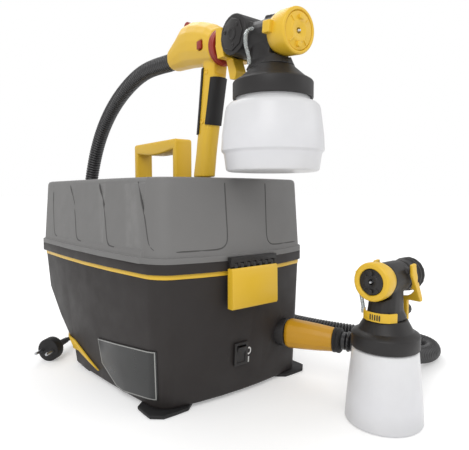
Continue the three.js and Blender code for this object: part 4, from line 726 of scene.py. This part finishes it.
def make_switch_marks():
    """A raised nought and bar on the wall beside the rocker."""
    front, _ = front_wall(SWITCH_LEVEL)
    wall = (Matrix.Translation(placed(SWITCH_SIDE, front, SWITCH_LEVEL))
            @ Matrix.Rotation(FRONT_LEAN, 4, "X"))
    drop_selection()
    bpy.ops.mesh.primitive_torus_add(major_segments=40, minor_segments=8, major_radius=3.5 * MM,
                                     minor_radius=0.9 * MM, rotation=(math.pi / 2, 0, 0))
    nought = bpy.context.object
    bpy.ops.object.transform_apply(location=True, rotation=True, scale=True)
    nought.scale = (0.95, 0.35, 1.25)
    nought.location = (15 * MM, 0, 0.4 * MM)
    apply_place(nought)
    bar = soften(box((15.3, 0, -12), (1.9, 0.5, 8.2)), 0.15)
    marks = joined([nought, bar])
    marks.matrix_world = wall
    apply_place(marks)
    bpy.ops.object.shade_smooth_by_angle(angle=math.radians(40))
    dress(marks, "switch_marks", mark_white, "base", "cup_white")


def skin_of(name):
    """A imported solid's surface, to look up places on it."""
    solid = cad_nodes[name]
    return BVHTree.FromPolygons([solid.matrix_world @ v.co for v in solid.data.vertices],
                                [tuple(face.vertices) for face in solid.data.polygons])


# the lid's step lines, painted dark as painted shade of the steps, on its left half: rough places that
# # are then drawn onto its skin
LID_LINES = (
    ((-150, 151, 291), (-150, 143.7, 252), (-152, 134, 213), (-152, 130, 207.6), (-152, 122, 206.2)),
    ((-142, 75, 293), (-147, 46.7, 252), (-149.5, 36, 212), (-149.5, 31, 207.5), (-149, 19, 206.2)),
    ((-136, -29, 293), (-140.4, -51.9, 252), (-142.6, -63, 212), (-142, -67, 207.5),
     (-141, -83, 206.2)),
    ((-126, -129, 292), (-129, -147.9, 251), (-128.5, -157.5, 213), (-127.5, -160.5, 207.5),
     (-120, -170, 205.7), (-104.8, -180.4, 205.7), (-73.5, -188.5, 206), (-39, -194.2, 207),
     (-34.5, -195, 210), (-34, -194, 220), (-34.5, -191, 255), (-35, -188, 291)),
)
LINE_RADIUS = 1.2
LINE_SINK = 0.75         # how deep a line's middle lies under the skin


def make_lid_lines():
    """The lines of the lid's stepped panels as thin beads painted dark grey, a painted shade of the
    steps, mirrored on its right half, sunk in its skin.
    """
    skin = skin_of("lid")
    tubes = []
    for side in (1, -1):
        for rough in LID_LINES:
            route = centripetal([placed(side * x, y, z) for x, y, z in rough], 60)
            near = [skin.find_nearest(at)[:2] for at in route]
            route = [at - normal * LINE_SINK * MM for at, normal in near]
            for _ in range(6):
                eased = [(a + b * 2 + c) / 4 for a, b, c in zip(route, route[1:], route[2:])]
                route = [route[0], *eased, route[-1]]
            tubes.append(tube_along("line", route, 90, lambda i: LINE_RADIUS * MM, 10)[0])
    lines = joined(tubes)
    bpy.ops.object.shade_smooth_by_angle(angle=ROUND_BELOW)
    dress(lines, "lid_step_shadow_lines", step_shadow_grey, "lid", "lid_grey")


def make_lid():
    dress(soften(from_solid("lid"), 0.9, 3), "lid_skin", lid_grey, "lid", "lid_grey", "lid")
    make_lid_lines()
    comb = soften(from_solid("latch_comb"), 0.4)
    dress(comb, "comb_skin", trim_black, "lid", "trim_black", "latch_comb")
    latch = soften(from_solid("latch"), 1.0, 3)
    dress(latch, "latch_skin", yellow, "latch", "yellow", "latch")
    latch.data.materials.append(trim_black)
    for face in latch.data.polygons:
        face.material_index = int(face.center.z > LATCH_TRAY_TOP * MM)
    handle = soften(from_solid("carry_handle"), 3.2, 4)
    dress(handle, "handle_skin", yellow, "lid", "yellow", "carry_handle")


def make_outlet():
    """Collar, coupling and cuff on the outlet's axis, measured from the front wall."""
    centre = placed(*outlet_centre())
    collar = turned([(15, -8), (18.8, -8), (20, -6.8), (20, 16), (15, 16), (15, -8)], 64, True)
    stand(collar, centre, OUTLET_ANGLE, ALONG_Y)
    dress(soften(collar, 0.4), "outlet_ring", trim_black, "base", "trim_black", "outlet_collar")
    coupling = melted("hose_coupling", 0.9, 6)
    dress(coupling, "coupling_skin", coupling_yellow, "base", "yellow", "hose_coupling")
    cuff = turned([(11, -CUFF_END), (14.6, -CUFF_END), (17.4, -87.4), (17.4, -84), (16.6, -83.2),
                   (16.6, -82), (17.4, -81.2), (17.4, -78.6), (11, -78.6), (11, -CUFF_END)], 64, True)
    stand(cuff, centre, OUTLET_ANGLE, ALONG_Y)
    dress(soften(cuff, 0.3), "cuff_ring", rubber, "base", "rubber", "hose_cuff")


# ------------------------------------------------------------------ spray heads
# In millimetres from the head's place: face and back lie along the barrel; ring, cap, nose, rim
# and cone are radii; the others are heights.
HEAD_A = dict(tag="a", body="lid", at=GUN_A, turn=0.0, tilt=GUN_A_TILT, face=-44, back=-13,
              ring=26.3, cap=21.5, nose=19, rim=49.5, rim_top=-56, rim_bottom=-76,
              cone=27, cone_top=-38)
HEAD_B = dict(tag="b", body="base", at=GUN_B, turn=GUN_B_TURN, tilt=0.0, face=-36, back=-12,
              ring=23, cap=15.2, nose=17, rim=40.5, rim_top=-66, rim_bottom=-83,
              cone=25, cone_top=-48)
PLATE_BACK = 12          # the scale plate is what the solid's band has before this
PLATE_DROP = 6           # and it sits lower than the band
BUTTON_FOOT = 17.2       # left of the middle, clear of the seat's floor when pressed
BUTTON_SIZE = 0.92       # of the solid's, clear of the grip's melted skin

# the cups' walls as [radius, height] pairs: up the outside from the foot, then down the inside
CUP_A_OUTSIDE = [(54.5, -164), (56.6, -163.2), (57.8, -161.5), (60.3, -143.5), (61.4, -141.5),
                 (63.2, -139.6), (63.6, -138), (62.6, -120), (58.6, -90), (57.2, -85.6),
                 (54, -82.4), (46.4, -79.6), (45.7, -77), (45.7, -60.3)]
CUP_A_INSIDE = [(43.9, -60.3), (43.9, -77), (56.2, -85.7), (61.8, -138.7), (58.5, -144.2),
                (53.5, -162.2)]
CUP_B_OUTSIDE = [(43.5, -175), (45.6, -174.2), (46.5, -172), (45.2, -150), (43.2, -126),
                 (40.6, -100), (39.4, -87.5), (38.4, -85.2), (36.8, -84), (36.7, -70.3)]
CUP_B_INSIDE = [(34.9, -70.3), (35, -84), (37.6, -86.7), (44.7, -172.7), (42.5, -173.2)]


def on_axis(head, piece):
    """Lays a piece turned about Z on a head's barrel."""
    return stand(piece, placed(*head["at"]), head["turn"], ALONG_Y + head["tilt"])


def on_cup(head, piece):
    """Stands a piece turned about Z on the middle line of a head's cup."""
    return stand(piece, placed(*head["at"]), head["turn"], 0)


def make_nozzle(head, cap_finish, cap_slot):
    """The yellow ring with its tab, the air cap with its two horns and four ribs, and the fluid tip."""
    tag, body = head["tag"], "nozzle_" + head["tag"]
    face, back, ring, radius = head["face"], head["back"], head["ring"], head["cap"]
    cap_back = face + 6
    bore, seat = head["nose"] + 0.3, cap_back + 0.3
    outer = turned([(bore, back), (ring - 3.5, back), (ring - 0.9, back - 7), (ring - 0.3, back - 10),
                    (ring, face + 3), (ring - 0.6, face + 1), (ring - 2, face), (radius + 1.1, face),
                    (radius + 0.3, face + 1), (radius + 0.3, seat), (bore, seat), (bore, back)],
                   72, True)
    tab = soften(box((-(ring + 1), -2, back - 7), (8, 14, 12)), 1.4, 3)
    whole = joined([soften(outer, 0.35), tab])
    on_axis(head, whole)
    dress(whole, "ring_" + tag, yellow, body, "yellow", "nozzle_ring_" + tag)
    cap = turned([(3.3, cap_back), (radius, cap_back), (radius, face + 1.6), (radius - 0.6, face + 1),
                  (radius * 0.62, face + 0.6), (radius * 0.58, face - 0.2), (radius * 0.45, face - 0.4),
                  (radius * 0.3, face + 0.6), (3.3, face + 1), (3.3, cap_back)], 64, True)
    parts = [soften(cap, 0.25)]
    for side in (-1, 1):
        drop_selection()
        bpy.ops.mesh.primitive_cylinder_add(vertices=32, radius=3.4 * MM, depth=6 * MM,
                                            location=(0, side * radius * 0.7 * MM, face * MM))
        parts.append(soften(bpy.context.object, 0.7, 3))
        bpy.ops.object.transform_apply(location=True)
    for quarter in range(4):
        turn = math.pi / 4 + quarter * math.pi / 2
        out = radius * 0.66
        at = (out * math.cos(turn), out * math.sin(turn), face + 0.5)
        rib = box(at, (radius / 2, 1.5, 1.6), turn)
        parts.append(soften(rib, 0.3))
    cap = joined(parts)
    on_axis(head, cap)
    dress(cap, "cap_" + tag, cap_finish, body, cap_slot, "air_cap_" + tag)
    tip = turned([(3, back - 14.3), (3, face + 3), (1.2, face - 1.2)], 32)
    on_axis(head, tip)
    dress(soften(tip, 0.15), "tip_" + tag, steel, head["body"], "steel", "fluid_nozzle_" + tag)


def make_cup_lid(head):
    """The black cover screwed on a cup, a cone in a rim."""
    rim, top, bottom = head["rim"], head["rim_top"], head["rim_bottom"]
    inner = rim - 2.7
    cone, cone_top = head["cone"], head["cone_top"]
    lid = turned([(5, cone_top), (cone, cone_top), (cone + 1, cone_top - 1.5), (rim - 8, top + 4.6),
                  (rim - 5, top + 3), (rim - 1.2, top + 0.6), (rim, top - 1), (rim, bottom + 1),
                  (rim - 0.6, bottom), (inner, bottom), (inner, top - 4), (rim - 7, top - 2),
                  (cone - 2, cone_top - 4), (5, cone_top - 4), (5, cone_top)], 96, True)
    on_cup(head, lid)
    dress(soften(lid, 0.35), "cup_cover_" + head["tag"], trim_black, head["body"], "trim_black",
          "cup_lid_" + head["tag"])


def make_release_button():
    """The red button in the grip's seat, a little smaller than the solid, with its foot cut back."""
    button = from_solid("release_button_a")
    centre = sum((v.co for v in button.data.vertices), Vector((0, 0, 0))) / len(button.data.vertices)
    cut_away(button, (-BUTTON_FOOT * MM, 0, 0), (-1, 0, 0))
    bpy.ops.object.mode_set(mode="EDIT")
    bpy.ops.mesh.select_all(action="SELECT")
    bpy.ops.transform.resize(value=(1, BUTTON_SIZE, BUTTON_SIZE), center_override=centre)
    bpy.ops.object.mode_set(mode="OBJECT")
    soften(button, 0.7, 3)
    dress(button, "release_button_skin", red, "release_button_a", "red", "release_button_a")


def make_scale_plate():
    """The yellow plate round the front of the second head's neck, with its scale ticks."""
    turn = Matrix.Rotation(HEAD_B["turn"], 4, "Z")
    head_place = Matrix.Translation(placed(*HEAD_B["at"])) @ turn
    plate = from_solid("scale_band_b")
    cut_away(plate, head_place @ Vector((0, -PLATE_BACK * MM, 0)), turn @ Vector((0, -1, 0)))
    plate.location.z -= PLATE_DROP * MM
    apply_place(plate)
    dress(soften(plate, 0.4), "scale_plate", yellow, "base", "yellow", "scale_band_b")
    ticks = joined([box((3 * i - 4, 0, 0), (1.3, 0.6, 6.5)) for i in range(5)])
    ticks.matrix_world = head_place @ Matrix.Translation(Vector((0, -28.6, -36.5 - PLATE_DROP)) * MM)
    apply_place(ticks)
    dress(ticks, "scale_ticks", trim_black, "base", "trim_black")


def make_cup(head, outside, inside, material):
    cup = turned(outside + inside, 96)
    on_cup(head, cup)
    soften(cup, 0.4, 3, 28)
    tag = head["tag"]
    dress(cup, "cup_shell_" + tag, material, "cup_" + tag, "cup_white", "cup_" + tag)


def make_guns():
    make_nozzle(HEAD_A, yellow, "yellow")
    make_nozzle(HEAD_B, trim_black, "trim_black")
    make_cup_lid(HEAD_A)
    make_cup_lid(HEAD_B)
    make_cup(HEAD_A, CUP_A_OUTSIDE, CUP_A_INSIDE, cup_white_a)
    make_cup(HEAD_B, CUP_B_OUTSIDE, CUP_B_INSIDE, cup_white_b)
    for name, material, body, slot, voxel in (
            ("head_a", trim_black, "lid", "trim_black", 1.1),
            ("grip_a", yellow, "lid", "yellow", 1.2),
            ("head_b", trim_black, "base", "trim_black", 1.0),
            ("handle_socket_b", trim_black, "base", "trim_black", 0.9),
            ("trigger_a", yellow, "trigger_a", "yellow", 0.8),
            ("trigger_b", yellow, "trigger_b", "yellow", 0.8)):
        dress(melted(name, voxel), name + "_skin", material, body, slot, name)
    for name in ("grip_pad_front_a", "grip_pad_rear_a"):
        dress(soften(from_solid(name), 0.5), name + "_skin", rubber, "lid", "rubber", name)
    ring = turned([(18.4, 93), (23.5, 93), (25, 95), (25, 97.6), (24.4, 98.2), (24.4, 99.4), (25, 100),
                   (25, 102.5), (23.5, 104.5), (18.4, 104.5), (18.4, 93)], 72, True)
    on_axis(HEAD_A, ring)
    dress(soften(ring, 0.3), "collar_red", red, "lid", "red", "collar_a")
    make_scale_plate()
    make_release_button()


def on_side(name, y, z, side):
    """Where a solid's side wall is met from outside, at a place of the drawing's side view."""
    at = skin_of(name).ray_cast(placed(side * 80, y, z), Vector((-side, 0, 0)))[0]
    return at or placed(side * 15, y, z)


def side_button(profile, at, side, sides=32):
    """A turned piece that stands out from a side wall."""
    piece = turned(profile, sides)
    piece.matrix_world = Matrix.Translation(at) @ Matrix.Rotation(side * math.pi / 2, 4, "Y")
    apply_place(piece)
    return piece


SIDE_PLATE = [(20.5, 0), (20.5, 1.3), (19, 2.1)]
PLATE_RIM = [(9, 0), (9, 2.9), (6, 3.1), (5, 2.4), (5, 2.2)]
SCREW_HEAD = [(2.5, 0), (2.5, 0.9), (1.9, 1.2), (1, 0.6)]
SCREW_CIRCLE, SCREW_LIFT = 14.5, 1.8
GRIP_BOSS = [(3.6, 0), (3.6, 1.6), (2.9, 2), (2.4, 1.1)]
BOSS_PLACES = ((-118, 449), (-107, 381))         # in the drawing's side view


def make_side_details():
    """Screwed side plates of the gun's black head, and the moulded bosses on its grip."""
    plates, bosses = [], []
    for side in (-1, 1):
        middle = Vector((side * 25.7, GUN_A.y + 47.5, GUN_A.z + 9.5))
        plate = side_button(SIDE_PLATE, placed(*middle), side, 8)
        rim = side_button(PLATE_RIM, placed(*middle), side)
        plates += [soften(plate, 0.4), soften(rim, 0.2)]
        for turn in (20, 140, 260):
            angle = math.radians(turn)
            at = middle + Vector((side * SCREW_LIFT, SCREW_CIRCLE * math.cos(angle),
                                  SCREW_CIRCLE * math.sin(angle)))
            plates.append(soften(side_button(SCREW_HEAD, placed(*at), side), 0))
        for y, z in BOSS_PLACES:
            at = on_side("grip_a", y, z, side) - Vector((side * MM, 0, 0))
            bosses.append(soften(side_button(GRIP_BOSS, at, side), 0))
    dress(joined(plates), "head_side_plates", trim_black, "lid", "trim_black")
    dress(joined(bosses), "grip_bosses", yellow, "lid", "yellow")


# ------------------------------------------------------------------ plug
PIN_SPACING = 19


def make_plug():
    """The plug with its long strain relief, and its two pins."""
    heading = PLUG_ANGLE - math.pi / 2
    disc = turned([(4.4, 44.7), (4.6, 44), (5.4, 26), (7, 15), (13, 11), (16.6, 8), (18.5, 5),
                   (18.5, -9.5), (18, -10.6), (17, -11)], 48)
    stand(disc, placed(*PLUG_PLACE), heading, ALONG_Y)
    dress(soften(disc, 0.3), "plug_body", rubber, "base", "rubber", "plug")
    pins = []
    for side in (-1, 1):
        pin = turned([(1.2, -30.3), (2.1, -29.6), (2.4, -28.4), (2.4, -11.3)], 24)
        pin.location = (side * PIN_SPACING / 2 * MM, 0, 0)
        apply_place(pin)
        pins.append(soften(pin, 0))
    both = joined(pins)
    stand(both, placed(*PLUG_PLACE), heading, ALONG_Y)
    dress(both, "plug_pins", steel, "base", "steel", "plug_pin_left", "plug_pin_right")


# ------------------------------------------------------------------ studio
FLOOR_GLOW = 0.3         # added to what the camera sees of the floor near the object
FAR_GLOW = 0.46          # and far away, so that it meets the sky
SKY_LEVEL = 0.75         # the sky's light on the object; the camera sees a white one
LAMPS = (                # name, place, size, watts, aim
    ("key_left", (-1.9, -1.5, 2.1), 1.6, 30, (0, 0, 0.25)),
    ("fill_right", (2.3, -1.9, 1.6), 1.8, 11, (0, 0, 0.25)),
    ("top_back", (0.4, 1.6, 2.4), 1.8, 22, (0, 0, 0.2)),
)


def make_studio():
    """A white floor and sky, and three soft lamps."""
    drop_selection()
    bpy.ops.mesh.primitive_plane_add(size=60, location=(0, 0, 0))
    floor = bpy.context.object
    floor.name = "studio_floor"
    material, tree, shader = principled("studio_floor")
    shader.inputs["Base Color"].default_value = (0.82, 0.82, 0.82, 1)
    shader.inputs["Roughness"].default_value = 0.9
    shader.inputs["Specular IOR Level"].default_value = 0.1
    rays = add(tree, "ShaderNodeLightPath").outputs
    seen = reckoned(tree, "MAXIMUM", rays["Is Camera Ray"], rays["Is Glossy Ray"])
    seen = reckoned(tree, "MAXIMUM", seen, rays["Is Transmission Ray"])
    place = add(tree, "ShaderNodeTexCoord")
    away = add(tree, "ShaderNodeVectorMath", operation="LENGTH")
    link(tree, place.outputs["Object"], away.inputs[0])
    glow = ranged(tree, away.outputs["Value"], 1.2, 3.5, FLOOR_GLOW, FAR_GLOW)
    shader.inputs["Emission Color"].default_value = (1, 1, 1, 1)
    link(tree, reckoned(tree, "MULTIPLY", seen, glow), shader.inputs["Emission Strength"])
    floor.data.materials.append(material)

    world = bpy.data.worlds.new("studio")
    bpy.context.scene.world = world
    world.use_nodes = True
    tree = world.node_tree
    background = tree.nodes["Background"]
    background.inputs["Color"].default_value = (1, 1, 1, 1)
    rays = add(tree, "ShaderNodeLightPath").outputs
    seen = reckoned(tree, "MAXIMUM", rays["Is Camera Ray"], rays["Is Transmission Ray"])
    level = ranged(tree, seen, 0.0, 1.0, SKY_LEVEL, 1.0)
    link(tree, level, background.inputs["Strength"])

    for name, at, size, power, aim in LAMPS:
        data = bpy.data.lights.new(name, "AREA")
        data.size = size
        data.energy = power
        lamp = bpy.data.objects.new(name, data)
        bpy.context.scene.collection.objects.link(lamp)
        lamp.location = at
        lamp.rotation_euler = (Vector(aim) - Vector(at)).to_track_quat("-Z", "Y").to_euler()


set_camera()
make_studio()
finish_cad_nodes()
make_hose()
make_plug()
make_mains_lead()
make_base()
make_switch_marks()
make_lid()
make_outlet()
make_guns()
make_side_details()

bpy.context.scene.view_settings.view_transform = "Standard"
drop_selection()
